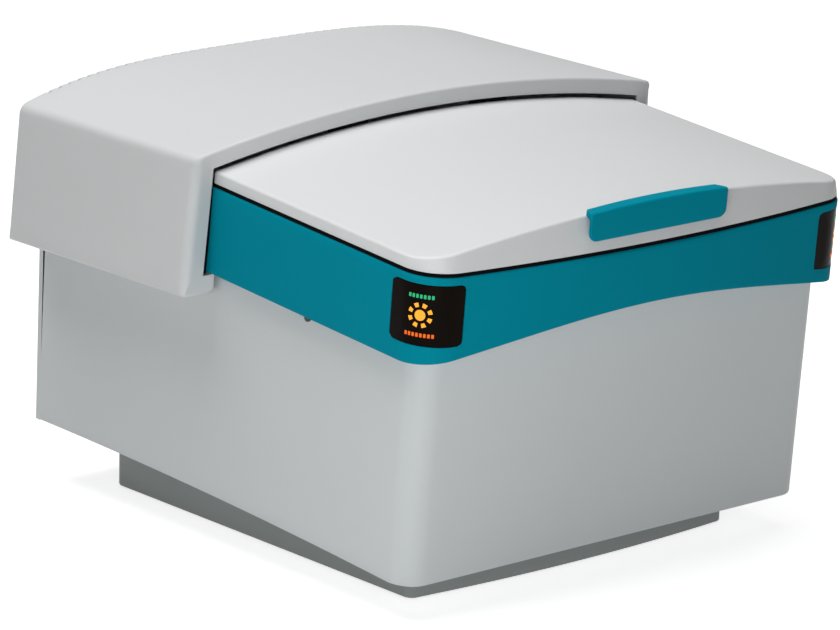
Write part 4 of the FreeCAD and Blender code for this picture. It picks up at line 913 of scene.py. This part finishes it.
    def band(self) -> Surface:
        """Collar as one closed section, with a through-hole for each window.

        In each window's patch the outer and inner faces are meshed by rings
        that blend from the grid's own border to the hole's round outline.

        Returns:
            The collar's surface.
        """
        grid, face_low, face_high = self.rows()
        surface = Surface()
        rows, cols = grid.shape[:2]
        skip = np.zeros((rows, cols - 1), bool)
        along = self.length_along(self.plan.open_path())
        first, last = self.window_span()
        total = along[-1]
        face = grid[face_low:face_high + 1]
        patches = []
        shift = self.window_shift
        for start, end in ((first - shift, last - shift), (total - last, total - first)):
            i0 = int(np.searchsorted(along, start - 4.0)) - 1
            i1 = int(np.searchsorted(along, end + 4.0))
            j0 = max(1, int(np.searchsorted(face[:, (i0 + i1) // 2, 2], self.window_low - 2.5)) - 1)
            j1 = int(np.searchsorted(face[:, (i0 + i1) // 2, 2], self.window_high + 1.5))
            j1 = min(j1, face_high - face_low)
            skip[face_low + j0:face_low + j1, i0:i1] = True
            patches.append((i0, i1, j0, j1, (start + end) / 2, (end - start) / 2))
        surface.add_tube(grid, False, skip)
        middle = self.window_middle()
        half_height = (self.window_high - self.window_low) / 2 + self.window_play
        for i0, i1, j0, j1, centre, half in patches:
            flat_s = np.broadcast_to(along[None, i0:i1 + 1], (j1 - j0 + 1, i1 - i0 + 1))
            flat_z = face[j0:j1 + 1, i0:i1 + 1, 2]
            border = np.concatenate([
                np.stack([flat_s[0, :-1], flat_z[0, :-1]], axis=1),
                np.stack([flat_s[:-1, -1], flat_z[:-1, -1]], axis=1),
                np.stack([flat_s[-1, :0:-1], flat_z[-1, :0:-1]], axis=1),
                np.stack([flat_s[:0:-1, 0], flat_z[:0:-1, 0]], axis=1)])
            turn = np.arctan2((border[:, 1] - middle) / half_height, (border[:, 0] - centre) / half)
            loop = self.round_box(half + self.window_play, half_height, self.window_round, self.hole_steps)
            loop_turn = np.unwrap(np.arctan2(loop[:, 1] / half_height, loop[:, 0] / half))
            turn = np.unwrap(turn)
            turn = turn + TURN * np.round((loop_turn.mean() - turn.mean()) / TURN)
            wide = np.concatenate([loop_turn - TURN, loop_turn, loop_turn + TURN])
            hole = np.stack([np.interp(turn, wide, np.tile(loop[:, k], 3)) for k in (0, 1)], axis=1)
            hole += [centre, middle]
            rings = [border * (1 - t) + hole * t for t in (0.0, 0.35, 0.7, 1.0)]
            stack = [self.wrap(ring[:, 0], ring[:, 1], 0.0) for ring in rings]
            stack[0] = np.concatenate([face[j0, i0:i1], face[j0:j1, i1], face[j1, i1:i0:-1], face[j1:j0:-1, i0]])
            stack += [self.wrap(hole[:, 0], hole[:, 1], depth) for depth in (0.25, self.hole_depth)]
            shrunk = (hole - [centre, middle]) * 0.55 + [centre, middle]
            stack += [self.wrap(shrunk[:, 0], shrunk[:, 1], self.hole_depth)]
            surface.add_grid(np.stack(stack), wrap_cols=True)
        return surface

    def on_window(self, side: int, ring: np.ndarray, inset: float) -> np.ndarray:
        """Put points given about a window's centre, along and up, onto the collar at an inset."""
        return self.wrap(ring[:, 0] + self.window_centre(side), ring[:, 1] + self.window_middle(), inset)

    def pane(self, side: int) -> Surface:
        """Dark pane: rings of a rounded rectangle laid onto the collar's corner.

        Args:
            side: -1 for the left corner, 1 for the right.

        Returns:
            A closed plate with a softened front edge.
        """
        first, last = self.window_span()
        half, half_height = (last - first) / 2, (self.window_high - self.window_low) / 2
        loop, edge_in = (self.round_box(half - inset, half_height - inset, self.window_round - inset,
                                        self.pane_steps) for inset in (0.0, 0.5))
        rings = [(edge_in * share, self.pane_face) for share in np.linspace(0.02, 1.0, 18)]
        rings += [(loop, 0.5), (loop, self.pane_back)]
        rings += [(loop * share, self.pane_back) for share in np.linspace(0.9, 0.02, 10)]
        rows = [self.on_window(side, ring, depth) for ring, depth in rings]
        surface = Surface()
        surface.add_tube(np.stack(rows), True)
        return surface

    def pad(self, surface: Surface, side: int, loop: np.ndarray, height: float) -> None:
        """Add one thin raised pad to a surface, from its flat outline.

        Args:
            surface: where it goes.
            side: -1 for the left window, 1 for the right.
            loop: outline about the window's centre, along and up.
            height: how far it stands out of the pane.
        """
        heart = loop.mean(axis=0)
        steps = [(share, self.pane_face - height) for share in (0.02, 0.2, 0.4, 0.6, 0.8, 0.97)]
        steps += [(1.0, self.pane_face)] + [(share, self.mark_floor) for share in (1.0, 0.6, 0.02)]
        rows = [self.on_window(side, heart + (loop - heart) * share, inset) for share, inset in steps]
        surface.add_tube(np.stack(rows), True)

    def lights(self, side: int, part: Mark) -> Surface:
        """One of a window's lit marks: a row of blocks, or a lamp in a broken ring.

        Args:
            side: -1 for the left window, 1 for the right.
            part: which of them.

        Returns:
            Thin pads on the pane.
        """
        surface = Surface()
        lead = side * self.mark_lead
        if part is Mark.LAMP:
            self.pad(surface, side, circle(28) * self.lamp_radius + [lead, 0.0], self.lamp_height)
            for turn in (np.arange(self.ring_parts) + 0.5) * TURN / self.ring_parts:
                arc = turn + np.linspace(-1, 1, 7) * self.ring_half_angle
                flat = np.stack([np.cos(arc), np.sin(arc)], axis=1)
                loop = np.concatenate([self.ring_outer * flat, self.ring_inner * flat[::-1]])
                self.pad(surface, side, loop + [lead, 0.0], self.mark_height)
            return surface
        reach, count, height = (11.2, 7, 18.0) if part is Mark.UPPER_ROW else (13.2, 8, -19.0)
        block = self.round_box(1.25, 1.9, 0.6, 32)
        for place in np.linspace(-reach, reach, count):
            self.pad(surface, side, block + [lead + place, height], self.mark_height)
        return surface

    def build(self) -> None:
        """Make the collar, both panes and their lights."""
        make_piece("collar_ring", self.band(), HOUSING, TEAL, "housing", ("collar_band",))
        for side, word in ((-1, "left"), (1, "right")):
            make_piece("window_pane_" + word, self.pane(side), HOUSING, WINDOW, "housing",
                       ("status_window_" + word,))
            for part, finish in zip(Mark, (GREEN_LIGHT, AMBER_LIGHT, ORANGE_LIGHT)):
                make_piece(part.value + "_light_" + word, self.lights(side, part), HOUSING, finish,
                           "housing")


@dataclass
class BodyAssembly:
    """Painted body below the collar and the plinth that it stands on."""

    plan: BowedPlan = field(default_factory=lambda: BowedPlan(
        258.0, -290.0, 6.3, 27.0, 300.0, corner_steps=20, side_steps=40, front_steps=48))
    top: float = 283.3
    arch: float = 29.0
    overlap: float = 8.0
    wall: float = 3.0
    low_front: float = 35.5
    low_rear: float = 65.5
    low_rise: float = 5.0
    front_rise: float = 3.0
    rise_y: float = -262.0
    rise_fade: float = 30.0
    rise_half: float = 240.0
    rear_y: float = 284.0
    rear_lean: float = 2.3
    rear_thick: float = 6.5
    hood_low: float = 261.3
    hood_rear: float = 271.0
    hood_rear_lean: float = 3.8
    hood_space: float = 4.5
    base: BowedPlan = field(default_factory=lambda: BowedPlan(
        205.0, -240.8, 10.9, 9.9, 220.5, 9.9, corner_steps=8, side_steps=10, front_steps=32))
    base_low: float = 1.5
    base_border: float = 14.0
    floor: float = 66.0

    def low_edge(self, path: np.ndarray) -> np.ndarray:
        """Housing-frame height of the lower edge under points of the plan.

        Upright, the edge is z = low + slope (y - front) + rise 4 t (1 - t)
        with t from front to rear; a small arch is added across the front.
        Height and depth hang together in the leaning frame, so the same step
        is taken a few times.

        Args:
            path: array of shape (columns, 2).

        Returns:
            One height for each column.
        """
        c, s = HOUSING.cosine(), HOUSING.sine()
        z = np.full(len(path), 50.0)
        for _ in range(PASSES):
            y_up = path[:, 1] * c - z * s
            t = (y_up - self.plan.front) / (self.rear_y - self.plan.front)
            upright = self.low_front + (self.low_rear - self.low_front) * t + self.low_rise * 4 * t * (1 - t)
            front = np.clip((self.rise_y - path[:, 1]) / self.rise_fade, 0, 1)
            upright = upright + self.front_rise * front * (1 - (path[:, 0] / self.rise_half) ** 2).clip(0, 1)
            z = (upright - path[:, 1] * s) / c
        return z

    def rear_limit(self, z: float) -> float:
        """Housing-frame y where the sides end, before the rear panel and inside the hood.

        Args:
            z: housing-frame height at the rear.

        Returns:
            The depth at that height.
        """
        c, s = HOUSING.cosine(), HOUSING.sine()
        y = 280.0
        for _ in range(PASSES):
            up = y * s + z * c
            limit = self.rear_y - tangent(self.rear_lean) * (up - self.low_rear) - self.rear_thick
            if up > self.hood_low - 0.8:
                hood = self.hood_rear - tangent(self.hood_rear_lean) * (up - self.hood_low) - self.hood_space
                limit = min(limit, hood)
            y = (limit + z * s) / c
        return y

    def shell(self, collar: CollarAssembly) -> Surface:
        """Body as one closed section carried round: outer skin, lower edge, inner skin.

        Args:
            collar: the collar that it ends under.

        Returns:
            A closed surface.
        """
        base = self.plan.open_path()
        high = np.minimum(collar.low_edge(base[:, 0]) + self.overlap, self.top + self.arch + self.overlap)
        side = self.plan.side_steps
        grid = []

        def row(inset: float, share: float, lift: float) -> None:
            """Add one row at a share of the height, raised by lift.

            Args:
                inset: depth of the row's skin.
                share: share of the height, 0 at the lower edge.
                lift: how far it is raised.
            """
            path = self.plan.open_path(inset)
            end = self.rear_limit(float(self.low_edge(path)[0] * (1 - share) + high[0] * share + lift))
            path[:side, 1] = end + (self.plan.corner_centre()[1] - end) * np.linspace(0, 1, side, endpoint=False)
            path[-side:, 1] = path[:side, 1][::-1]
            grid.append(raised(path, self.low_edge(path) * (1 - share) + high * share + lift))

        for share in (1.0, 0.99, 0.965, 0.94, 0.85, 0.7, 0.55, 0.4, 0.25, 0.12, 0.04):
            row(0.0, share, 0.0)
        row(0.0, 0.0, 1.2)
        row(0.35, 0.0, 0.35)
        row(1.2, 0.0, 0.0)
        row(self.wall, 0.0, 0.0)
        for share in (0.04, 0.3, 0.6, 0.94, 1.0):
            row(self.wall, share, 0.0)
        surface = Surface()
        surface.add_tube(np.stack(grid), False)
        return surface

    def plinth(self) -> Surface:
        """Dark tray in one grid: inner floor and wall, outer wall, softened lower edge and bottom.

        Each row has an inset and a height, or a share of the way up to the
        leaning floor above it: z = height (1 - share) + floor share.

        Returns:
            A closed surface.
        """
        cut = self.floor / HOUSING.cosine()
        bottom, inside, wall = self.base_low, self.base_low + self.wall, self.wall
        middle = fill_to_spine(self.base, self.base.closed_path(self.base_border), 4)
        rows = [raised(path, inside) for path in middle[::-1]]
        for inset, height, share in (
                (self.base_border, inside, 0.0), (wall, inside, 0.0), (wall, inside, 0.5), (wall, 0.0, 1.0),
                (0.0, 0.0, 1.0), (0.0, bottom + 2.0, 0.66), (0.0, bottom + 2.0, 0.33), (0.0, bottom + 2.0, 0.0),
                (0.6, bottom + 0.6, 0.0), (2.0, bottom, 0.0), (self.base_border, bottom, 0.0)):
            path = self.base.closed_path(inset)
            under = cut + tangent(HOUSING.lean) * path[:, 1] - 0.4
            rows.append(raised(path, height * (1 - share) + under * share))
        rows.extend(raised(path, bottom) for path in middle)
        surface = Surface()
        surface.add_grid(np.stack(rows), wrap_cols=True)
        return surface

    def build(self, collar: CollarAssembly) -> None:
        """Make the body shell and the plinth."""
        make_piece("body_moulding", self.shell(collar), HOUSING, BODY_GREY, "housing",
                   ("body_shell",))
        make_piece("plinth_tray", self.plinth(), UPRIGHT, BASE_GREY, "housing",
                   ("plinth_base",))


@dataclass
class HoodAssembly:
    """Rear hood: an arched shell with a lip over the lid, side flanges and a vent row."""

    half_low: float = 301.6
    half_top: float = 294.3
    low: float = 261.3
    side_top: float = 399.7
    front: float = -12.5
    rear: float = 271.0
    front_lean: float = 5.5
    rear_lean: float = 3.8
    crown: float = 29.3
    rear_crown: float = 30.5
    rear_power: float = 3.4
    shoulder: float = 9.0
    nose: float = 3.2
    corner: float = 9.5
    tail: float = 5.0
    wall: float = 2.4
    opening_half: float = 277.5
    sill_half: float = 264.0
    sill: float = 19.0
    opening_lean: float = 2.1
    opening_round: float = 3.5
    lip_gap: float = 4.5
    flange_round: float = 5.0
    held_columns: int = 7
    strip_width: float = 5.6
    strip_depth: float = 9.0
    strip_top: float = 366.0
    vents: int = 46
    vent_pitch: float = 11.6
    vent_width: float = 5.0
    vent_reach: float = 9.0
    lid: LidAssembly = field(default_factory=LidAssembly)

    def vent_middles(self) -> np.ndarray:
        """Place of each vent across the hood."""
        return (np.arange(self.vents) - (self.vents - 1) / 2) * self.vent_pitch

    def across(self) -> np.ndarray:
        """Columns of the crown: both edges of every vent and a few beyond the row.

        Returns:
            One x for each column.
        """
        middle = self.vent_middles()
        edges = np.stack([middle - self.vent_width / 2, middle + self.vent_width / 2], axis=1).ravel()
        end = self.half_top - self.shoulder
        outer = np.linspace(edges[-1], end, 5)[1:]
        return np.concatenate([-outer[::-1], edges, outer])

    def arch(self, x: np.ndarray, t: float) -> np.ndarray:
        """Height of the crown at a share t of the depth.

        It is side_top + (1 - t) front(x) + t rear(x), where the front is a
        parabola and the rear a flatter curve of power `rear_power`.

        Args:
            x: places across the hood.
            t: share of the depth, 0 at the front.

        Returns:
            One height for each place.
        """
        share = np.abs(x) / self.half_top
        front = self.crown * (1 - share ** 2)
        rear = self.rear_crown * (1 - share ** self.rear_power)
        return self.side_top + (1 - t) * front + t * rear

    def section(self, t: float, inset: float) -> np.ndarray:
        """Outline of the hood across, from the left flange's inner edge to the right one's.

        Straight flange, small round lower edge, leaning side, shoulder as a
        quadratic curve between its two tangent points, then the crown. An
        inset moves each part along its own inward direction.

        Args:
            t: share of the depth, 0 at the front.
            inset: distance inwards.

        Returns:
            Array of shape (columns, 2) with x and z.
        """
        edge = self.flange_round
        flange = np.stack([np.array([self.sill_half, self.sill_half + 14, self.half_low - edge]),
                           np.full(3, self.low + inset)], axis=1)
        angle = np.linspace(-QUARTER, 0, 5)[1:]
        small = max(edge - inset, 0.3)
        turn = np.stack([self.half_low - edge + small * np.cos(angle), self.low + edge + small * np.sin(angle)],
                        axis=1)
        height = np.array([self.low + self.sill - 2.0, self.low + self.sill + 2.0, self.low + 45, self.low + 80,
                           self.side_top - 26, self.side_top - self.shoulder])
        share = (height - self.low) / (self.side_top - self.low)
        side = np.stack([self.half_low + (self.half_top - self.half_low) * share - inset, height], axis=1)
        crown_x = self.across()
        corner = np.array([self.half_top, float(self.arch(np.array([self.half_top]), t)[0])])
        first = np.array([side[-1, 0] + inset, side[-1, 1]])
        last = np.array([crown_x[-1], float(self.arch(crown_x[-1:], t)[0])])
        bend, slope = quadratic(first, corner, last)
        normal = np.stack([-slope[:, 1], slope[:, 0]], axis=1)
        normal /= np.linalg.norm(normal, axis=1, keepdims=True)
        bend = bend + normal * inset
        crown = np.stack([crown_x, self.arch(crown_x, t) - inset], axis=1)
        right = np.concatenate([flange, turn, side, bend])
        return np.concatenate([right * [-1, 1], crown, right[::-1]])

    def corner_share(self) -> np.ndarray:
        """How far each column of a section takes part in the wide round of the front corners.

        Returns:
            A share from 0 to 1 for each column.
        """
        turn = np.array([0.1, 0.3, 0.6, 0.85])
        right = np.concatenate([np.zeros(3), turn, np.ones(6), np.linspace(1, 0, 9)[1:-1] ** 1.5])
        return np.concatenate([right, np.zeros(len(self.across())), right[::-1]])

    def front_ring(self, angle: float) -> tuple[np.ndarray, np.ndarray]:
        """Outline and set-back of the front round at an angle, 0 on the face and 90 degrees on the skin.

        Each column's radius r runs from `nose` on the crown to `corner` on
        the sides; its inset is r (1 - sin) and its set-back r (1 - cos).

        Args:
            angle: angle of the round in radians.

        Returns:
            The outline as x and z, and each column's set-back.
        """
        share = self.corner_share()
        rest = 1 - math.sin(angle)
        tight, wide = self.section(0.0, self.nose * rest), self.section(0.0, self.corner * rest)
        radius = self.nose * (1 - share) + self.corner * share
        return tight * (1 - share[:, None]) + wide * share[:, None], radius * (1 - math.cos(angle))

    def rear_ring(self, inset: float) -> np.ndarray:
        """Outline at the rear with an inset; the flanges and their small turns keep their height.

        Args:
            inset: distance inwards.

        Returns:
            Array of shape (columns, 2) with x and z.
        """
        outline, plain = self.section(1.0, inset), self.section(1.0, 0.0)
        shallow = self.section(1.0, min(inset, self.tail + 1.0))
        beside = np.abs(outline[:, 0]) > self.across()[-1] - 0.01
        outline[beside] = shallow[beside]
        held = np.r_[0:self.held_columns, len(plain) - self.held_columns:len(plain)]
        limit = self.half_low - inset
        outline[held] = plain[held]
        outline[held, 0] = np.clip(plain[held, 0], -limit, limit)
        return outline

    def front_y(self, z: np.ndarray) -> np.ndarray:
        """Depth of the front plane: front - tan(lean) (z - low)."""
        return self.front - tangent(self.front_lean) * (z - self.low)

    def rear_y(self, z: np.ndarray) -> np.ndarray:
        """Depth of the rear plane: rear - tan(lean) (z - low)."""
        return self.rear - tangent(self.rear_lean) * (z - self.low)

    def lid_top(self, x: np.ndarray) -> np.ndarray:
        """Upright height of the closed lid's top under the lip.

        Args:
            x: places across the hood.

        Returns:
            One height for each place.
        """
        c, s = HOUSING.cosine(), HOUSING.sine()
        top = self.lid.top(x)
        return ((self.front_y(top) * c + top * s)) * s + top * c

    def opening(self) -> np.ndarray:
        """Outline of the opening, with as many columns as a section has.

        Sill, upright sides that lean in a little, small round upper corners
        and an arc that keeps `lip_gap` above the closed lid.

        Returns:
            Array of shape (columns, 2) with x and z.
        """
        arc_x = self.across() * self.opening_half / (self.half_top - self.shoulder) * 0.985
        edge = float(self.lid_top(np.array([self.opening_half]))[0]) + self.lip_gap
        middle = float(self.lid_top(np.array([0.0]))[0]) + self.lip_gap
        arc_z = middle - (middle - edge) * (arc_x / self.opening_half) ** 2
        z = np.concatenate([np.linspace(self.low + self.nose, self.low + self.nose + 3, 7),
                            [self.low + self.sill, self.low + self.sill, self.low + 45, self.low + 80,
                             edge - 24, edge - self.opening_round]])
        lean = tangent(self.opening_lean) * np.maximum(z - self.low - self.sill, 0)
        x = np.where(np.arange(len(z)) < 8, self.sill_half, self.opening_half - lean)
        bend = quadratic(np.array([x[-1], z[-1]]), np.array([x[-1], edge]), np.array([arc_x[-1], arc_z[-1]]))[0]
        right = np.concatenate([np.stack([x, z], axis=1), bend])
        arc = np.stack([arc_x, arc_z], axis=1)
        return np.concatenate([right * [-1, 1], arc, right[::-1]])

    def shell(self) -> Surface:
        """Outer skin of the hood, row by row from the opening back to the rear's lower edge.

        Rows: the opening's edge, the front face, a quarter round over the
        nose, the skin, a quarter round at the rear and the rear face. The
        cells of the vents are left out, so the vents are open slots.

        Returns:
            An open skin, which the Solidify modifier makes a wall.
        """
        rows = []

        def add(outline: np.ndarray, y: np.ndarray) -> None:
            """Add one row from x, z and its depth."""
            rows.append(np.stack([outline[:, 0], y, outline[:, 1]], axis=1))

        ring = self.front_ring(0.0)[0]
        hole = self.opening()
        for share in (0.0, 0.06, 0.5, 0.94):
            mixed = hole * (1 - share) + ring * share
            add(mixed, self.front_y(mixed[:, 1]))
        for angle in np.linspace(0, QUARTER, 8):
            outline, back = self.front_ring(angle)
            add(outline, self.front_y(outline[:, 1]) + back)
        for share in (0.06, 0.14, 0.28, 0.42, 0.56, 0.70, 0.82, 0.91):
            outline = self.section(share, 0.0)
            add(outline, self.front_y(outline[:, 1]) * (1 - share) + self.rear_y(outline[:, 1]) * share)
        vent_first = len(rows)
        outline = self.section(1.0, 0.0)
        add(outline, self.rear_y(outline[:, 1]) - self.vent_reach)
        for inset, back in quarter_turn(6, self.tail):
            outline = self.rear_ring(inset)
            add(outline, self.rear_y(outline[:, 1]) - back)
        ring = self.rear_ring(self.vent_reach)
        add(ring, self.rear_y(ring[:, 1]))
        vent_last = len(rows) - 1
        base = np.stack([ring[:, 0], np.full(len(ring), self.low)], axis=1)
        for share in (0.05, 0.33, 0.66, 1.0):
            mixed = ring * (1 - share) + base * share
            add(mixed, self.rear_y(mixed[:, 1]))
        grid = np.stack(rows)
        skip = np.zeros((grid.shape[0] - 1, grid.shape[1] - 1), bool)
        x = grid[vent_first, :, 0]
        between = (x[1:] + x[:-1]) / 2
        inside = (np.abs(between[:, None] - self.vent_middles()) < self.vent_width / 2).any(axis=1)
        skip[vent_first:vent_last] = inside & (np.abs(x[1:] - x[:-1]) > 0.5)
        surface = Surface()
        surface.add_grid(grid, skip=skip)
        return surface

    def side_strips(self) -> Surface:
        """Black strips that fill the gap between the opening's upright edges and the collar, so the gap shows black
        there.

        Returns:
            Two closed strips.
        """
        surface = Surface()
        z = np.linspace(self.low + self.sill + 1.5, self.strip_top, 12)
        edge = self.opening_half - tangent(self.opening_lean) * (z - self.low - self.sill) + 0.4
        width, deep = self.strip_width, self.strip_depth
        section = ((0.0, 2.0), (3.0, 1.6), (width, 2.6), (width, deep), (0.0, deep))
        for side in (-1, 1):
            ring = [np.stack([side * (edge - inset), self.front_y(z) + back, z], axis=1) for inset, back in section]
            surface.add_tube(np.stack(ring), False)
        return surface

    def build(self) -> None:
        """Make the hood and its side strips."""
        make_piece("hood_side_strips", self.side_strips(), UPRIGHT, RUBBER, "housing")
        make_piece("hood_moulding", self.shell(), UPRIGHT, HOOD_GREY, "housing", ("rear_hood",),
                   wall=self.wall, bevel=0.6)


@dataclass
class Studio:
    """Floor, world, lamps and the camera at the photograph's viewing angle."""

    azimuth: float = -40.74
    elevation: float = 15.15
    roll: float = 1.10
    lens: float = 202.2857
    place: tuple[float, float, float] = (-2959.8, -3413.44, 1424.3)
    sensor: float = 36.0
    world: float = 0.12
    white: float = 1.0
    floor_half: float = 9.0
    floor_grey: float = 0.66
    floor_lift: float = 0.74
    aim: tuple[float, float, float] = (0.0, 0.0, 0.2)

    @staticmethod
    def ray_mask(tree: bpy.types.NodeTree, *kinds: str) -> bpy.types.NodeSocket:
        """Add nodes that give 1 for rays of the named kinds and 0 for the others.

        Args:
            tree: the node tree that they go into.
            kinds: outputs of the Light Path node, two or more.

        Returns:
            The largest of those outputs.
        """
        rays = tree.nodes.new("ShaderNodeLightPath")
        found = rays.outputs[kinds[0]]
        for kind in kinds[1:]:
            larger = tree.nodes.new("ShaderNodeMath")
            larger.operation = "MAXIMUM"
            tree.links.new(found, larger.inputs[0])
            tree.links.new(rays.outputs[kind], larger.inputs[1])
            found = larger.outputs[0]
        return found

    @staticmethod
    def feed(tree: bpy.types.NodeTree, mask: bpy.types.NodeSocket, low: float, high: float,
             target: bpy.types.NodeSocket) -> None:
        """Feed a socket with `low` where the mask is 0 and `high` where it is 1.

        Args:
            tree: the node tree.
            mask: socket that gives 0 to 1.
            low: value at 0.
            high: value at 1.
            target: the socket that is fed.
        """
        strength = tree.nodes.new("ShaderNodeMapRange")
        strength.inputs["To Min"].default_value = low
        strength.inputs["To Max"].default_value = high
        tree.links.new(mask, strength.inputs["Value"])
        tree.links.new(strength.outputs["Result"], target)

    def floor(self) -> None:
        """Pale floor that stays white to the camera and keeps the object's shadow."""
        far = self.floor_half
        mesh = bpy.data.meshes.new("studio_floor")
        mesh.from_pydata([(-far, -far, 0), (far, -far, 0), (far, far, 0), (-far, far, 0)], [], [(0, 1, 2, 3)])
        floor = bpy.data.objects.new("studio_floor", mesh)
        bpy.context.scene.collection.objects.link(floor)
        material = bpy.data.materials.new("studio_floor")
        material.use_nodes = True
        shader = material.node_tree.nodes["Principled BSDF"]
        shader.inputs["Base Color"].default_value = (*[self.floor_grey] * 3, 1.0)
        shader.inputs["Roughness"].default_value = 1.0
        shader.inputs["Specular IOR Level"].default_value = 0.0
        shader.inputs["Emission Color"].default_value = (1.0, 1.0, 1.0, 1.0)
        mask = self.ray_mask(material.node_tree, "Is Camera Ray", "Is Transmission Ray", "Is Glossy Ray")
        self.feed(material.node_tree, mask, 0.0, self.floor_lift, shader.inputs["Emission Strength"])
        mesh.materials.append(material)

    def sky(self) -> None:
        """Even world light, white where the camera looks at it, also through clear pieces."""
        world = bpy.data.worlds.new("studio_world")
        bpy.context.scene.world = world
        world.use_nodes = True
        background = world.node_tree.nodes["Background"]
        background.inputs["Color"].default_value = (1.0, 1.0, 1.0, 1.0)
        mask = self.ray_mask(world.node_tree, "Is Camera Ray", "Is Transmission Ray")
        self.feed(world.node_tree, mask, self.world, self.white, background.inputs["Strength"])

    def lamp(self, name: str, place: tuple[float, float, float], size: float, power: float) -> None:
        """Square area lamp that faces the object.

        Args:
            name: its name.
            place: where it hangs, in metres.
            size: its side in metres.
            power: its power in watts.
        """
        light = bpy.data.lights.new(name, "AREA")
        light.size = size
        light.energy = power
        lamp = bpy.data.objects.new(name, light)
        bpy.context.scene.collection.objects.link(lamp)
        away = Vector(place) - Vector(self.aim)
        lamp.matrix_world = Matrix.Translation(place) @ away.to_track_quat("Z", "Y").to_matrix().to_4x4()

    def camera(self) -> None:
        """Camera fitted to the photograph, from its three angles and its place."""
        a, e, roll = (math.radians(v) for v in (self.azimuth, self.elevation, self.roll))
        right = Vector((math.cos(a), math.sin(a), 0.0))
        ahead = Vector((-math.sin(a) * math.cos(e), math.cos(a) * math.cos(e), -math.sin(e)))
        up = right.cross(ahead)
        right, up = right * math.cos(roll) + up * math.sin(roll), up * math.cos(roll) - right * math.sin(roll)
        data = bpy.data.cameras.new("photo_camera")
        data.sensor_width = self.sensor
        data.lens = self.lens
        camera = bpy.data.objects.new("photo_camera", data)
        bpy.context.scene.collection.objects.link(camera)
        turn = Matrix((right, up, -ahead)).transposed().to_4x4()
        camera.matrix_world = Matrix.Translation(Vector(self.place) * MM) @ turn
        bpy.context.scene.camera = camera

    def build(self) -> None:
        """Set the stage."""
        self.floor()
        self.sky()
        self.lamp("key_lamp", (-0.8, 0.3, 3.4), 2.4, 82.0)
        self.lamp("top_lamp", (0.9, 0.6, 3.6), 2.4, 26.0)
        self.lamp("front_lamp", (-1.15, -1.3, 0.42), 0.8, 8.4)
        self.camera()
        bpy.context.scene.view_settings.view_transform = "Standard"


def dress_nodes() -> None:
    """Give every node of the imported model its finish."""
    finishes = {name: finish for finish, names in NODES_BY_FINISH.items() for name in names.split()}
    for name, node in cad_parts.items():
        node.data.materials.clear()
        node.data.materials.append(finishes[name].build())


def main() -> None:
    """Build every assembly."""
    logging.basicConfig(level=logging.INFO, format="%(name)s %(message)s")
    dress_nodes()
    collar = CollarAssembly()
    LidAssembly().build()
    collar.build()
    BodyAssembly().build(collar)
    HoodAssembly().build()
    Studio().build()


if __name__ == "__main__":
    main()
